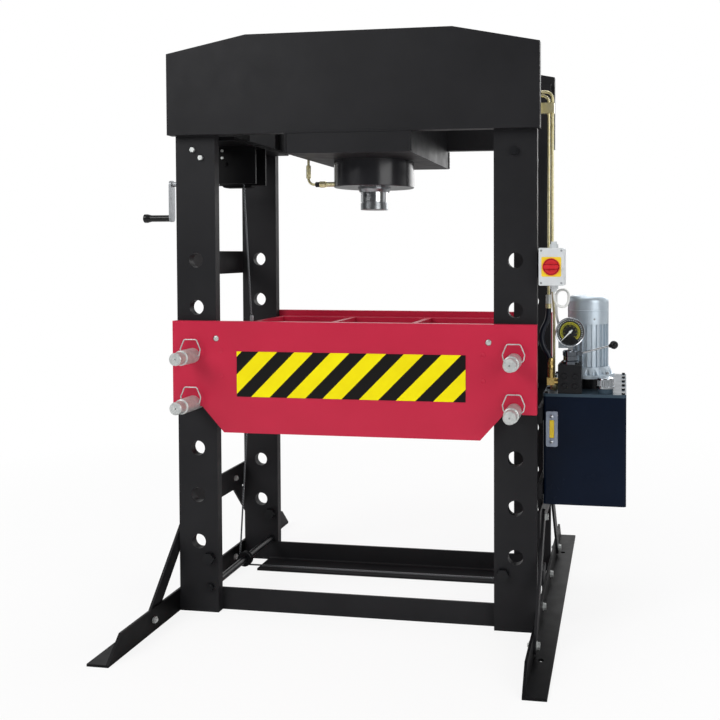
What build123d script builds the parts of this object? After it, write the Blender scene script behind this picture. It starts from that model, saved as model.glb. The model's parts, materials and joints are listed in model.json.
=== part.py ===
from build123d import *
from math import acos, atan2, cos, degrees, radians, sin, sqrt
import os

# Electro-hydraulic workshop press: four flat uprights, a fixed cylinder in the head and a
# bolster that hangs on four pins. X runs across the press, Y to the rear, Z up. The origin
# is on the floor, under the ram's axis. All sizes are in millimetres.

# Uprights and their rows of pin holes
UPRIGHT_SPACING = 1090
UPRIGHT_WIDTH = 140
UPRIGHT_THICKNESS = 30
UPRIGHT_HEIGHT = 1860
FRAME_DEPTH = 530
PIN_HOLE_FIRST = 242
PIN_HOLE_PITCH = 160
PIN_HOLE_COUNT = 7
UPPER_PIN_ROW = 4

# Bolster pins
PIN_DIAMETER = 50
PIN_FIT = 0.08
PIN_FRONT_REACH = 116
PIN_REAR_REACH = 22
PIN_NOSE_DIAMETER = 42
PIN_NOSE_LENGTH = 36
PIN_CHAMFER = 3
PIN_DIMPLE_DIAMETER = 7
CLIP_WIRE = 4
CLIP_CLEARANCE = 0.3
CLIP_STANDOFF = 16
CLIP_RISE = 55
CLIP_SHOULDER = 31

# Head plates and the cylinder housing between them
HEAD_LENGTH = 1254
HEAD_PLATE = 35
HEAD_OVERLAP = 240
HEAD_END_HEIGHT = 270
HEAD_MIDDLE_HEIGHT = 325
HEAD_FLAT_LENGTH = 694
HOUSING_WIDTH = 420
HOUSING_DROP = 68
HOUSING_FLOOR = 25
HOUSING_WALL = 20
HOUSING_HEIGHT = 340
HOUSING_LID = 22

# Cylinder and ram
BARREL_DIAMETER = 285
BARREL_DROP = 93
BARREL_BORE = 200
BARREL_END = 30
BARREL_SEAT = 0.2
RUNNING_FIT = 0.06
ROD_DIAMETER = 98
PISTON_LENGTH = 45
PISTON_TOP_GAP = 3
GLAND_DIAMETER = 116
GLAND_HEIGHT = 16
GLAND_TAPER = 6
ROD_SHOW = 51
NOSE_GROOVE = 4
NOSE_HEIGHT = 24
NOSE_NECK = 90
SPIGOT_DIAMETER = 60
SPIGOT_LENGTH = 30
SET_SCREW_DIAMETER = 10
SET_SCREW_RISE = 22
SET_SCREW_ANGLE = 22

# Bolster
BOLSTER_LENGTH = 1234
BOLSTER_PLATE = 25
BOLSTER_GAP = 4
BOLSTER_TOP_RISE = 116
BOLSTER_END_HEIGHT = 287
BOLSTER_HEIGHT = 373
BOLSTER_FLAT_LENGTH = 870
BOLSTER_SHOULDER = 1024
BOLSTER_TIE_HOLE = 21
TIE_HOLE_SPACING = 924
TIE_HOLE_DROP = 58
SPACER_X = 445
SPACER_INNER_X = 150
SPACER_THICKNESS = 20
SPACER_DROP = 22
SPACER_HEIGHT = 320
RAIL_DEPTH = 60
RAIL_HEIGHT = 70
RAIL_WALL = 6
LUG_REACH = 30
LUG_WIDTH = 44
LUG_HEIGHT = 30
LUG_DROP = 40
PANEL_LENGTH = 776
PANEL_HEIGHT = 151
PANEL_THICKNESS = 1.5
PANEL_DROP = 100

# Feet, braces, side ties and cross bars
FOOT_LENGTH = 1350
FOOT_HEIGHT = 75
FOOT_WIDTH = 70
FOOT_STEEL = 8
FOOT_SLOPE = 66
ANCHOR_INSET = 217
ANCHOR_HOLE = 18
ANCHOR_OFFSET = 32
BRACE_STEEL = 8
BRACE_WIDTH = 50
BRACE_FOOT_Y = 430
BRACE_FOOT_Z = 38
BRACE_TOP_Y = 153
TIE_STEEL = 8
TIE_LAP = 14
TIE_HEIGHT = 86
LOWER_TIE_Z = 345
UPPER_TIE_Z = 1190
CROSSBAR_HEIGHT = 75
CROSSBAR_FRONT_FLANGE = 75
CROSSBAR_REAR_FLANGE = 120
CROSSBAR_REAR_LENGTH = 1020
ANGLE_STEEL = 8
ANGLE_ROOT = 8

# Fasteners
BOLT_FLATS = 19
BOLT_HEAD = 8
WASHER_DIAMETER = 26
WASHER_THICKNESS = 2.5
BOLT_END = 12
BOLT_END_LENGTH = 4
FOOT_BOLT_Y = 145
THROUGH_BOLT = 20
THROUGH_BOLT_INSET = 40
THROUGH_BOLT_Z = 187
THROUGH_BOLT_FLATS = 36
THROUGH_BOLT_HEAD = 18
WINCH_BOLT_FLATS = 15
CHEEK_SCREW = 9
CHEEK_SCREW_PITCH = 26
SHANK_CLEARANCE = 0.2

# Wire ropes, pulleys and the hand winch
ROPE_DIAMETER = 6
AXLE_DIAMETER = 16
AXLE_FLATS = 24
AXLE_HEAD = 10
PULLEY_WIDTH = 18
PULLEY_GROOVE = 8
PULLEY_LIP = 6
PULLEY_SIDE_GAP = 0.3
SPACER_TUBE = 24
LOW_PULLEY_RADIUS = 21
LOW_PULLEY_Z = 88
LOW_LEFT_INSET = 42
LOW_RIGHT_X = 561
TOP_PULLEY_RADIUS = 42
TOP_PULLEY_X = 543
TOP_PULLEY_DROP = 69
ROPE_GAP = 0.3
FORK_PLATE = 6
FORK_HALF_HEIGHT = 32
FORK_FLANGE_WIDTH = 80
WINCH_X = -510
WINCH_WIDTH = 180
WINCH_DROP = 145
WINCH_PLATE = 8
WINCH_FRONT_Y = -68
WINCH_REAR_Y = 17
WINCH_TOP = 12
DRUM_X = -535
DRUM_DROP = 73
DRUM_RADIUS = 32
DRUM_FLANGE = 52
DRUM_FLANGE_THICKNESS = 5
DRUM_SIDE_GAP = 1
BRACKET_WIDTH = 100
BRACKET_DROP = 88
BRACKET_STEEL = 8
WRAP_WIDTH = 49
GEARCASE_LENGTH = 120
GEARCASE_DEPTH = 36
GEARCASE_HEIGHT = 140
CRANK_DROP = 135
CRANK_Y = 42
CRANK_SHAFT = 18
CRANK_X = -800
CRANK_THROW = 128
CRANK_ARM_WIDTH = 28
CRANK_ARM_THICKNESS = 10
GRIP_LENGTH = 104
GRIP_DIAMETER = 25
GRIP_FLARE = 33
GRIP_PIN = 12

# Power pack on the right side
TANK_X = 628
TANK_WIDTH = 270
TANK_FRONT_Y = -205
TANK_DEPTH = 480
TANK_BOTTOM = 403
TANK_HEIGHT = 354
TANK_CORNER = 10
LID_THICKNESS = 10
LID_BOLT_FLATS = 10
LID_BOLT_HEAD = 6
LID_BOLT_INSET = 10
BEARER_HEIGHT = 50
BEARER_DROP = 30
MOTOR_X = 768
MOTOR_Y = -40
BELL_DIAMETER = 112
BELL_HEIGHT = 38
MOTOR_FLANGE = 180
MOTOR_SHOULDER = 164
SHOULDER_HEIGHT = 24
SHOULDER_STEP = 2
SHOULDER_FLUTES = 20
SHOULDER_FLUTE = 17
MOTOR_FLANGE_THICKNESS = 12
MOTOR_BODY = 126
MOTOR_BODY_HEIGHT = 168
FIN_HEIGHT = 6
FIN_THICKNESS = 3.5
FIN_COUNT = 24
COVER_DIAMETER = 139
COVER_HEIGHT = 95
COVER_WALL = 2
COVER_ROUND = 20
FAN_SHAFT = 18
FAN_DIAMETER = 108
FAN_BLADES = 7
TERMINAL_REACH = 100
TERMINAL_LENGTH = 62
TERMINAL_HEIGHT = 66
VALVE_X = 715
VALVE_Y = -170
BLOCK_WIDTH = 77
BLOCK_DEPTH = 62
BLOCK_HEIGHT = 95
VALVE_DIAMETER = 50
VALVE_HEIGHT = 43
LEVER_PIVOT_REACH = 34
LEVER_PIN = 6
LEVER_HUB = 14
LEVER_HUB_WIDTH = 8
LEVER_ROD = 7
LEVER_LENGTH = 112
LEVER_ANGLE = 15
BALL_DIAMETER = 27
GAUGE_DIAMETER = 96
GAUGE_DEPTH = 30
GAUGE_RIM = 4
GAUGE_STEM = 14
GAUGE_STEM_LENGTH = 13
DIAL_DEPTH = 7
NEEDLE_PIN = 4
NEEDLE_LENGTH = 34
NEEDLE_ANGLE = 225
GLASS_THICKNESS = 2
FILLER_X = 830
FILLER_Y = -175
FILLER_NECK = 50
FILLER_NECK_HEIGHT = 18
FILLER_CAP = 54
FILLER_CAP_HEIGHT = 34
CAP_RIM = 60
CAP_RIM_HEIGHT = 6
CAP_TOP = 8
CAP_FLUTES = 14
SIGHT_WIDTH = 38
SIGHT_HEIGHT = 115
SIGHT_THICKNESS = 9
SIGHT_X = 658
SIGHT_Z = 652

# Switch box, tubes, hose and motor cable
SWITCH_WIDTH = 80
SWITCH_HEIGHT = 119
SWITCH_DEPTH = 92
SWITCH_FRONT_Y = -300
SWITCH_Z = 1182
COVER_LINE_DEPTH = 28
KNOB_DIAMETER = 54
KNOB_THICKNESS = 16
KNOB_GRIP = 12
KNOB_STEM = 10
CABLE_GLAND = 24
TUBE_DIAMETER = 9
TUBE_PITCH = 12
TUBE_X = 645
TUBE_Y = -185
TUBE_RISE = 118
TUBE_END_Z = 1060
TUBE_BEND = 22
CLAMP_HEIGHT = 34
CLAMP_DEPTH = 20
CLAMP_PLATE = 3
UPPER_CLAMP_RISE = 60
LOWER_CLAMP_Z = 1165
PORT_RISE = 15
PORT_X = -247
NUT_FLATS = 22
HOSE_DIAMETER = 18
CABLE_DIAMETER = 8

# Sizes that follow from the ones above
HEAD_BOTTOM = UPRIGHT_HEIGHT - HEAD_OVERLAP
TOP_PULLEY_Z = HEAD_BOTTOM - TOP_PULLEY_DROP
WINCH_BOTTOM = HEAD_BOTTOM - WINCH_DROP
DRUM_Z = HEAD_BOTTOM - DRUM_DROP
CRANK_Z = HEAD_BOTTOM - CRANK_DROP
TUBE_Z = HEAD_BOTTOM + TUBE_RISE
UPPER_CLAMP_Z = HEAD_BOTTOM + UPPER_CLAMP_RISE
HALF_SPACING = UPRIGHT_SPACING / 2
FRAME_EDGE = HALF_SPACING + UPRIGHT_WIDTH / 2
HALF_DEPTH = FRAME_DEPTH / 2
INNER_FACE = HALF_DEPTH - UPRIGHT_THICKNESS
PIN_HOLE_RADIUS = PIN_DIAMETER / 2 + PIN_FIT
PIN_ROWS = [PIN_HOLE_FIRST + PIN_HOLE_PITCH * row for row in range(PIN_HOLE_COUNT)]
UPPER_PIN_Z = PIN_HOLE_FIRST + PIN_HOLE_PITCH * UPPER_PIN_ROW
LOWER_PIN_Z = UPPER_PIN_Z - PIN_HOLE_PITCH
HOUSING_BOTTOM = HEAD_BOTTOM - HOUSING_DROP
HOUSING_TOP = HOUSING_BOTTOM + HOUSING_HEIGHT
BARREL_BOTTOM = HOUSING_BOTTOM - BARREL_DROP
PORT_Z = BARREL_BOTTOM + PORT_RISE
BARREL_TOP = HOUSING_TOP - HOUSING_LID
BOLSTER_TOP = UPPER_PIN_Z + BOLSTER_TOP_RISE
BOLSTER_INNER = HALF_DEPTH + BOLSTER_GAP
BOLSTER_OUTER = BOLSTER_INNER + BOLSTER_PLATE
FOOT_OUTER = FRAME_EDGE + FOOT_STEEL
BRACE_OUTER = FOOT_OUTER + BRACE_STEEL
TANK_TOP = TANK_BOTTOM + TANK_HEIGHT
LID_TOP = TANK_TOP + LID_THICKNESS
LOW_LEFT_X = -(HALF_SPACING - LOW_LEFT_INSET)
THROUGH_BOLT_X = HALF_SPACING - THROUGH_BOLT_INSET
LUG_X = SPACER_X + SPACER_THICKNESS / 2 + LUG_REACH / 2
LUG_TOP = BOLSTER_TOP - LUG_DROP
LUG_BOTTOM = LUG_TOP - LUG_HEIGHT


def front(y):
    """Upright plane across the press at the given depth."""
    return Plane.XZ.offset(-y)


def side(x):
    """Upright plane along the press's depth at the given distance across."""
    return Plane.YZ.offset(x)


def level(z):
    """Flat plane at the given height."""
    return Plane.XY.offset(z)


def save(piece, name):
    """Label a finished piece and write its STEP file."""
    piece.label = name
    export_step(piece, f"parts/{name}.step")


os.makedirs("parts", exist_ok=True)

# Uprights: four flat bars with seven pin holes each, and a hole for a bolt near the foot.
# The left pair carries the low pulley's axle and the right pair the top pulley's.
for side_name, x in (("left", -HALF_SPACING), ("right", HALF_SPACING)):
    inward = -1 if x > 0 else 1
    axle_spot = (TOP_PULLEY_X, TOP_PULLEY_Z) if x > 0 else (LOW_LEFT_X, LOW_PULLEY_Z)
    for end_name, face in (("front", -HALF_DEPTH), ("rear", INNER_FACE)):
        with BuildPart() as upright:
            with BuildSketch(front(face)):
                with Locations((x, UPRIGHT_HEIGHT / 2)):
                    Rectangle(UPRIGHT_WIDTH, UPRIGHT_HEIGHT)
                with Locations(*[(x, z) for z in PIN_ROWS]):
                    Circle(PIN_HOLE_RADIUS, mode=Mode.SUBTRACT)
                with Locations((x + inward * THROUGH_BOLT_INSET, THROUGH_BOLT_Z)):
                    Circle(THROUGH_BOLT / 2 + SHANK_CLEARANCE, mode=Mode.SUBTRACT)
                with Locations(axle_spot):
                    Circle(AXLE_DIAMETER / 2 + SHANK_CLEARANCE, mode=Mode.SUBTRACT)
            extrude(amount=-UPRIGHT_THICKNESS)
        save(upright.part, f"upright_{end_name}_{side_name}")

# Head plates: a level middle and sloping shoulders
for end_name, face in (("front", -HALF_DEPTH - HEAD_PLATE), ("rear", HALF_DEPTH)):
    with BuildPart() as head_plate:
        with BuildSketch(front(face)):
            with BuildLine():
                Polyline(
                    (-HEAD_LENGTH / 2, HEAD_BOTTOM),
                    (-HEAD_LENGTH / 2, HEAD_BOTTOM + HEAD_END_HEIGHT),
                    (-HEAD_FLAT_LENGTH / 2, HEAD_BOTTOM + HEAD_MIDDLE_HEIGHT),
                    (HEAD_FLAT_LENGTH / 2, HEAD_BOTTOM + HEAD_MIDDLE_HEIGHT),
                    (HEAD_LENGTH / 2, HEAD_BOTTOM + HEAD_END_HEIGHT),
                    (HEAD_LENGTH / 2, HEAD_BOTTOM),
                    close=True,
                )
            make_face()
        extrude(amount=-HEAD_PLATE)
    save(head_plate.part, f"head_plate_{end_name}")

# Cylinder housing: floor, two walls and a reaction plate on top, welded between the head plates,
# with a skirt below that is flush with their outer faces
with BuildPart() as housing:
    with BuildSketch(front(-HALF_DEPTH)):
        with Locations((0, (HOUSING_BOTTOM + HOUSING_TOP) / 2)):
            Rectangle(HOUSING_WIDTH, HOUSING_HEIGHT)
        with Locations((0, (HOUSING_BOTTOM + HOUSING_FLOOR + BARREL_TOP) / 2)):
            Rectangle(
                HOUSING_WIDTH - 2 * HOUSING_WALL,
                BARREL_TOP - HOUSING_BOTTOM - HOUSING_FLOOR,
                mode=Mode.SUBTRACT,
            )
    extrude(amount=-FRAME_DEPTH)
    with BuildSketch(level(HOUSING_BOTTOM)):
        Rectangle(HOUSING_WIDTH, FRAME_DEPTH + 2 * HEAD_PLATE)
    extrude(amount=HOUSING_FLOOR)
    with BuildSketch(level(HOUSING_BOTTOM)):
        Rectangle(HOUSING_WIDTH, FRAME_DEPTH + 2 * HEAD_PLATE)
        Rectangle(HOUSING_WIDTH - 2 * HOUSING_WALL, FRAME_DEPTH, mode=Mode.SUBTRACT)
    extrude(amount=HOUSING_DROP)
    with Locations(Plane.XY.offset(HOUSING_BOTTOM)):
        Cylinder(
            BARREL_DIAMETER / 2 + BARREL_SEAT,
            HOUSING_FLOOR,
            align=(Align.CENTER, Align.CENTER, Align.MIN),
            mode=Mode.SUBTRACT,
        )
save(housing.part, "cylinder_housing")

# Cylinder barrel: open bore above a thick bottom end that guides the rod
with BuildPart() as barrel:
    with BuildSketch(Plane.XZ):
        with BuildLine():
            Polyline(
                (ROD_DIAMETER / 2 + RUNNING_FIT, BARREL_BOTTOM),
                (BARREL_DIAMETER / 2, BARREL_BOTTOM),
                (BARREL_DIAMETER / 2, BARREL_TOP),
                (0, BARREL_TOP),
                (0, BARREL_TOP - BARREL_END),
                (BARREL_BORE / 2, BARREL_TOP - BARREL_END),
                (BARREL_BORE / 2, BARREL_BOTTOM + BARREL_END),
                (ROD_DIAMETER / 2 + RUNNING_FIT, BARREL_BOTTOM + BARREL_END),
                close=True,
            )
        make_face()
    revolve(axis=Axis.Z)
    chamfer(barrel.edges().filter_by(GeomType.CIRCLE).sort_by(SortBy.RADIUS)[-2:], 2)
save(barrel.part, "cylinder_barrel")

# Rod gland: tapered wiper ring below the barrel
with BuildPart() as gland:
    with BuildSketch(Plane.XZ):
        with BuildLine():
            Polyline(
                (ROD_DIAMETER / 2 + RUNNING_FIT, BARREL_BOTTOM),
                (GLAND_DIAMETER / 2, BARREL_BOTTOM),
                (GLAND_DIAMETER / 2, BARREL_BOTTOM - GLAND_HEIGHT / 3),
                (GLAND_DIAMETER / 2 - GLAND_TAPER, BARREL_BOTTOM - GLAND_HEIGHT),
                (ROD_DIAMETER / 2 + RUNNING_FIT, BARREL_BOTTOM - GLAND_HEIGHT),
                close=True,
            )
        make_face()
    revolve(axis=Axis.Z)
save(gland.part, "rod_gland")

# Ram: piston and rod in one, with a socket for the nose and a set-screw hole in its wall
ROD_BOTTOM = BARREL_BOTTOM - ROD_SHOW
PISTON_TOP = BARREL_TOP - BARREL_END - PISTON_TOP_GAP
with BuildPart() as ram:
    with BuildSketch(Plane.XZ):
        with BuildLine():
            Polyline(
                (SPIGOT_DIAMETER / 2 + BARREL_SEAT, ROD_BOTTOM),
                (ROD_DIAMETER / 2, ROD_BOTTOM),
                (ROD_DIAMETER / 2, PISTON_TOP - PISTON_LENGTH),
                (BARREL_BORE / 2 - RUNNING_FIT, PISTON_TOP - PISTON_LENGTH),
                (BARREL_BORE / 2 - RUNNING_FIT, PISTON_TOP),
                (0, PISTON_TOP),
                (0, ROD_BOTTOM + SPIGOT_LENGTH),
                (SPIGOT_DIAMETER / 2 + BARREL_SEAT, ROD_BOTTOM + SPIGOT_LENGTH),
                close=True,
            )
        make_face()
    revolve(axis=Axis.Z)
    screw_plane = Plane(
        origin=(0, 0, ROD_BOTTOM + SET_SCREW_RISE),
        z_dir=(-sin(radians(SET_SCREW_ANGLE)), -cos(radians(SET_SCREW_ANGLE)), 0),
    )
    with BuildSketch(screw_plane.offset(SPIGOT_DIAMETER / 2)):
        Circle(SET_SCREW_DIAMETER / 2)
    extrude(amount=ROD_DIAMETER / 2, mode=Mode.SUBTRACT)
save(ram.part, "ram")

# Ram nose: hardened pad with a neck groove, spigoted into the rod
with BuildPart() as ram_nose:
    with BuildSketch(Plane.XZ):
        with BuildLine():
            Polyline(
                (0, ROD_BOTTOM - NOSE_GROOVE - NOSE_HEIGHT),
                (ROD_DIAMETER / 2, ROD_BOTTOM - NOSE_GROOVE - NOSE_HEIGHT),
                (ROD_DIAMETER / 2, ROD_BOTTOM - NOSE_GROOVE),
                (NOSE_NECK / 2, ROD_BOTTOM - NOSE_GROOVE),
                (NOSE_NECK / 2, ROD_BOTTOM),
                (SPIGOT_DIAMETER / 2, ROD_BOTTOM),
                (SPIGOT_DIAMETER / 2, ROD_BOTTOM + SPIGOT_LENGTH),
                (0, ROD_BOTTOM + SPIGOT_LENGTH),
                close=True,
            )
        make_face()
    revolve(axis=Axis.Z)
    chamfer(ram_nose.edges().filter_by(GeomType.CIRCLE).sort_by(Axis.Z)[0], 1.5)
save(ram_nose.part, "ram_nose")

# Bolster plates: full holes for the upper pins and open notches for the lower ones
for end_name, face in (("front", -BOLSTER_OUTER), ("rear", BOLSTER_INNER)):
    with BuildPart() as bolster_plate:
        with BuildSketch(front(face)):
            with BuildLine():
                Polyline(
                    (-BOLSTER_LENGTH / 2, BOLSTER_TOP),
                    (-BOLSTER_LENGTH / 2, BOLSTER_TOP - BOLSTER_END_HEIGHT),
                    (-BOLSTER_SHOULDER / 2, BOLSTER_TOP - BOLSTER_END_HEIGHT),
                    (-BOLSTER_FLAT_LENGTH / 2, BOLSTER_TOP - BOLSTER_HEIGHT),
                    (BOLSTER_FLAT_LENGTH / 2, BOLSTER_TOP - BOLSTER_HEIGHT),
                    (BOLSTER_SHOULDER / 2, BOLSTER_TOP - BOLSTER_END_HEIGHT),
                    (BOLSTER_LENGTH / 2, BOLSTER_TOP - BOLSTER_END_HEIGHT),
                    (BOLSTER_LENGTH / 2, BOLSTER_TOP),
                    close=True,
                )
            make_face()
            with Locations((-HALF_SPACING, UPPER_PIN_Z), (HALF_SPACING, UPPER_PIN_Z)):
                Circle(PIN_HOLE_RADIUS, mode=Mode.SUBTRACT)
            with Locations((-HALF_SPACING, LOWER_PIN_Z), (HALF_SPACING, LOWER_PIN_Z)):
                Circle(PIN_HOLE_RADIUS, mode=Mode.SUBTRACT)
                Rectangle(
                    2 * PIN_HOLE_RADIUS,
                    PIN_DIAMETER,
                    align=(Align.CENTER, Align.MAX),
                    mode=Mode.SUBTRACT,
                )
            with Locations((0, BOLSTER_TOP - TIE_HOLE_DROP)):
                with GridLocations(TIE_HOLE_SPACING, 0, 2, 1):
                    Circle(BOLSTER_TIE_HOLE / 2, mode=Mode.SUBTRACT)
        extrude(amount=-BOLSTER_PLATE)
    save(bolster_plate.part, f"bolster_plate_{end_name}")

# Bolster spacers: four cross plates between the bolster plates, the outer two with a rope lug,
# and square rails between them along the plates
RAIL_BAYS = (
    (-(SPACER_X + SPACER_INNER_X) / 2, SPACER_X - SPACER_INNER_X - SPACER_THICKNESS),
    (0, 2 * SPACER_INNER_X - SPACER_THICKNESS),
    ((SPACER_X + SPACER_INNER_X) / 2, SPACER_X - SPACER_INNER_X - SPACER_THICKNESS),
)
with BuildPart() as bolster_spacers:
    with BuildSketch(level(BOLSTER_TOP - SPACER_DROP - SPACER_HEIGHT)):
        with GridLocations(2 * SPACER_X, 0, 2, 1):
            Rectangle(SPACER_THICKNESS, 2 * BOLSTER_INNER)
        with GridLocations(2 * SPACER_INNER_X, 0, 2, 1):
            Rectangle(SPACER_THICKNESS, 2 * BOLSTER_INNER)
    extrude(amount=SPACER_HEIGHT)
    with BuildSketch(level(LUG_BOTTOM)):
        with GridLocations(2 * LUG_X, 0, 2, 1):
            Rectangle(LUG_REACH, LUG_WIDTH)
    extrude(amount=LUG_HEIGHT)
    for x, length in RAIL_BAYS:
        with BuildSketch(side(x - length / 2)):
            with Locations((0, BOLSTER_TOP - SPACER_DROP - RAIL_HEIGHT / 2)):
                with GridLocations(2 * BOLSTER_INNER - RAIL_DEPTH, 0, 2, 1):
                    Rectangle(RAIL_DEPTH, RAIL_HEIGHT)
                    Rectangle(
                        RAIL_DEPTH - 2 * RAIL_WALL,
                        RAIL_HEIGHT - 2 * RAIL_WALL,
                        mode=Mode.SUBTRACT,
                    )
        extrude(amount=length)
save(bolster_spacers.part, "bolster_spacers")

# Hazard panel on the bolster's front
with BuildPart() as hazard_panel:
    with BuildSketch(front(-BOLSTER_OUTER)):
        with Locations((0, BOLSTER_TOP - PANEL_DROP)):
            Rectangle(PANEL_LENGTH, PANEL_HEIGHT, align=(Align.CENTER, Align.MAX))
    extrude(amount=PANEL_THICKNESS)
save(hazard_panel.part, "hazard_panel")

# Bolster pins: stepped and bevelled nose in front, a cross hole and a sprung wire clip through it
CLIP_Y = -BOLSTER_OUTER - CLIP_STANDOFF
PIN_FRONT_Y = -BOLSTER_OUTER - PIN_FRONT_REACH
PIN_REAR_Y = BOLSTER_OUTER + PIN_REAR_REACH
for pin_name, x, z in (
    ("pin_upper_left", -HALF_SPACING, UPPER_PIN_Z),
    ("pin_upper_right", HALF_SPACING, UPPER_PIN_Z),
    ("pin_lower_left", -HALF_SPACING, LOWER_PIN_Z),
    ("pin_lower_right", HALF_SPACING, LOWER_PIN_Z),
):
    with BuildPart() as pin:
        with BuildSketch(level(z)):
            with BuildLine():
                Polyline(
                    (x, PIN_FRONT_Y),
                    (x + PIN_NOSE_DIAMETER / 2 - PIN_CHAMFER, PIN_FRONT_Y),
                    (x + PIN_NOSE_DIAMETER / 2, PIN_FRONT_Y + PIN_CHAMFER),
                    (x + PIN_NOSE_DIAMETER / 2, PIN_FRONT_Y + PIN_NOSE_LENGTH),
                    (x + PIN_DIAMETER / 2, PIN_FRONT_Y + PIN_NOSE_LENGTH + PIN_CHAMFER),
                    (x + PIN_DIAMETER / 2, PIN_REAR_Y - PIN_CHAMFER),
                    (x + PIN_DIAMETER / 2 - PIN_CHAMFER, PIN_REAR_Y),
                    (x, PIN_REAR_Y),
                    close=True,
                )
            make_face()
        revolve(axis=Axis((x, 0, z), (0, 1, 0)))
        with Locations(Plane(origin=(x, PIN_FRONT_Y, z), z_dir=(0, -1, 0))):
            CounterSinkHole(PIN_DIMPLE_DIAMETER / 4, PIN_DIMPLE_DIAMETER / 2, depth=PIN_DIMPLE_DIAMETER)
        with BuildSketch(side(x)):
            with Locations((CLIP_Y, z)):
                Circle(CLIP_WIRE / 2 + CLIP_CLEARANCE)
        extrude(amount=PIN_DIAMETER, both=True, mode=Mode.SUBTRACT)
        with BuildLine(front(CLIP_Y)) as clip_path:
            for hand, start, end in ((1, 0, CLIP_RISE), (-1, CLIP_RISE, 0)):
                corners = [
                    (x, z),
                    (x + hand * CLIP_SHOULDER, z),
                    (x + hand * CLIP_SHOULDER * 1.15, z + CLIP_RISE * 0.4),
                    (x + hand * CLIP_SHOULDER * 0.7, z + CLIP_RISE),
                    (x, z + CLIP_RISE),
                ]
                FilletPolyline(*corners[::hand], radius=2 * CLIP_WIRE)
        with BuildSketch(side(x)):
            with Locations((CLIP_Y, z)):
                Circle(CLIP_WIRE / 2)
        sweep(path=clip_path.wire())
    save(pin.part, pin_name)

# Feet: long angles on the outer edges of the uprights, with sloping ends on the standing flange
with BuildPart() as feet:
    for hand in (-1, 1):
        with BuildSketch(side(hand * FRAME_EDGE)):
            with BuildLine():
                Polyline(
                    (-FOOT_LENGTH / 2, 0),
                    (FOOT_LENGTH / 2, 0),
                    (FOOT_LENGTH / 2, FOOT_STEEL),
                    (FOOT_LENGTH / 2 - FOOT_SLOPE, FOOT_HEIGHT),
                    (-FOOT_LENGTH / 2 + FOOT_SLOPE, FOOT_HEIGHT),
                    (-FOOT_LENGTH / 2, FOOT_STEEL),
                    close=True,
                )
            make_face()
        extrude(amount=hand * FOOT_STEEL)
        with BuildSketch(level(0)):
            with Locations((hand * (FRAME_EDGE + FOOT_WIDTH / 2), 0)):
                Rectangle(FOOT_WIDTH, FOOT_LENGTH)
            with Locations((hand * (FRAME_EDGE + ANCHOR_OFFSET), 0)):
                with GridLocations(0, FOOT_LENGTH - 2 * ANCHOR_INSET, 1, 2):
                    Circle(ANCHOR_HOLE / 2, mode=Mode.SUBTRACT)
        extrude(amount=FOOT_STEEL)
save(feet.part, "feet")

# Foot braces: flat bars with round ends from each foot up to the lower side tie
BRACE_RUN = BRACE_FOOT_Y - BRACE_TOP_Y
BRACE_RISE = LOWER_TIE_Z - BRACE_FOOT_Z
with BuildPart() as foot_braces:
    for hand in (-1, 1):
        for end in (-1, 1):
            with BuildSketch(side(hand * FOOT_OUTER)):
                with Locations(
                    Location(
                        (end * (BRACE_FOOT_Y + BRACE_TOP_Y) / 2, (LOWER_TIE_Z + BRACE_FOOT_Z) / 2),
                        -end * degrees(atan2(BRACE_RISE, BRACE_RUN)),
                    )
                ):
                    SlotCenterToCenter(sqrt(BRACE_RUN**2 + BRACE_RISE**2), BRACE_WIDTH)
            extrude(amount=hand * BRACE_STEEL)
save(foot_braces.part, "foot_braces")

# Side ties: flat bars welded to the outer edges of the uprights, low and high on each side, and
# the two thicker bearers for the tank on the right. They stop short of the uprights' faces.
TIE_LENGTH = 2 * (INNER_FACE + TIE_LAP)
with BuildPart() as side_ties:
    for hand in (-1, 1):
        with BuildSketch(side(hand * FRAME_EDGE)):
            with Locations((0, LOWER_TIE_Z), (0, UPPER_TIE_Z)):
                Rectangle(TIE_LENGTH, TIE_HEIGHT)
        extrude(amount=hand * TIE_STEEL)
    with BuildSketch(side(FRAME_EDGE)):
        with Locations(
            (0, TANK_BOTTOM + BEARER_DROP + BEARER_HEIGHT / 2),
            (0, TANK_TOP - BEARER_DROP - BEARER_HEIGHT / 2),
        ):
            Rectangle(TIE_LENGTH, BEARER_HEIGHT)
    extrude(amount=TANK_X - FRAME_EDGE)
save(side_ties.part, "side_ties")

# Cross bars: angles along the floor, inside the front and the rear uprights
with BuildPart() as crossbars:
    for face, inward, flange, length in (
        (-INNER_FACE, 1, CROSSBAR_FRONT_FLANGE, 2 * FRAME_EDGE),
        (INNER_FACE, -1, CROSSBAR_REAR_FLANGE, CROSSBAR_REAR_LENGTH),
    ):
        with BuildSketch(side(-length / 2)):
            with BuildLine():
                Polyline(
                    (face, 0),
                    (face, CROSSBAR_HEIGHT),
                    (face + inward * ANGLE_STEEL, CROSSBAR_HEIGHT),
                    (face + inward * ANGLE_STEEL, ANGLE_STEEL),
                    (face + inward * flange, ANGLE_STEEL),
                    (face + inward * flange, 0),
                    close=True,
                )
            make_face()
        extrude(amount=length)
        roots = crossbars.edges().filter_by(Axis.X).filter_by_position(Axis.Z, ANGLE_STEEL, ANGLE_STEEL)
        fillet(roots.sort_by(Axis.Y)[0 if inward > 0 else -1], ANGLE_ROOT)
save(crossbars.part, "crossbars")

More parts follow.
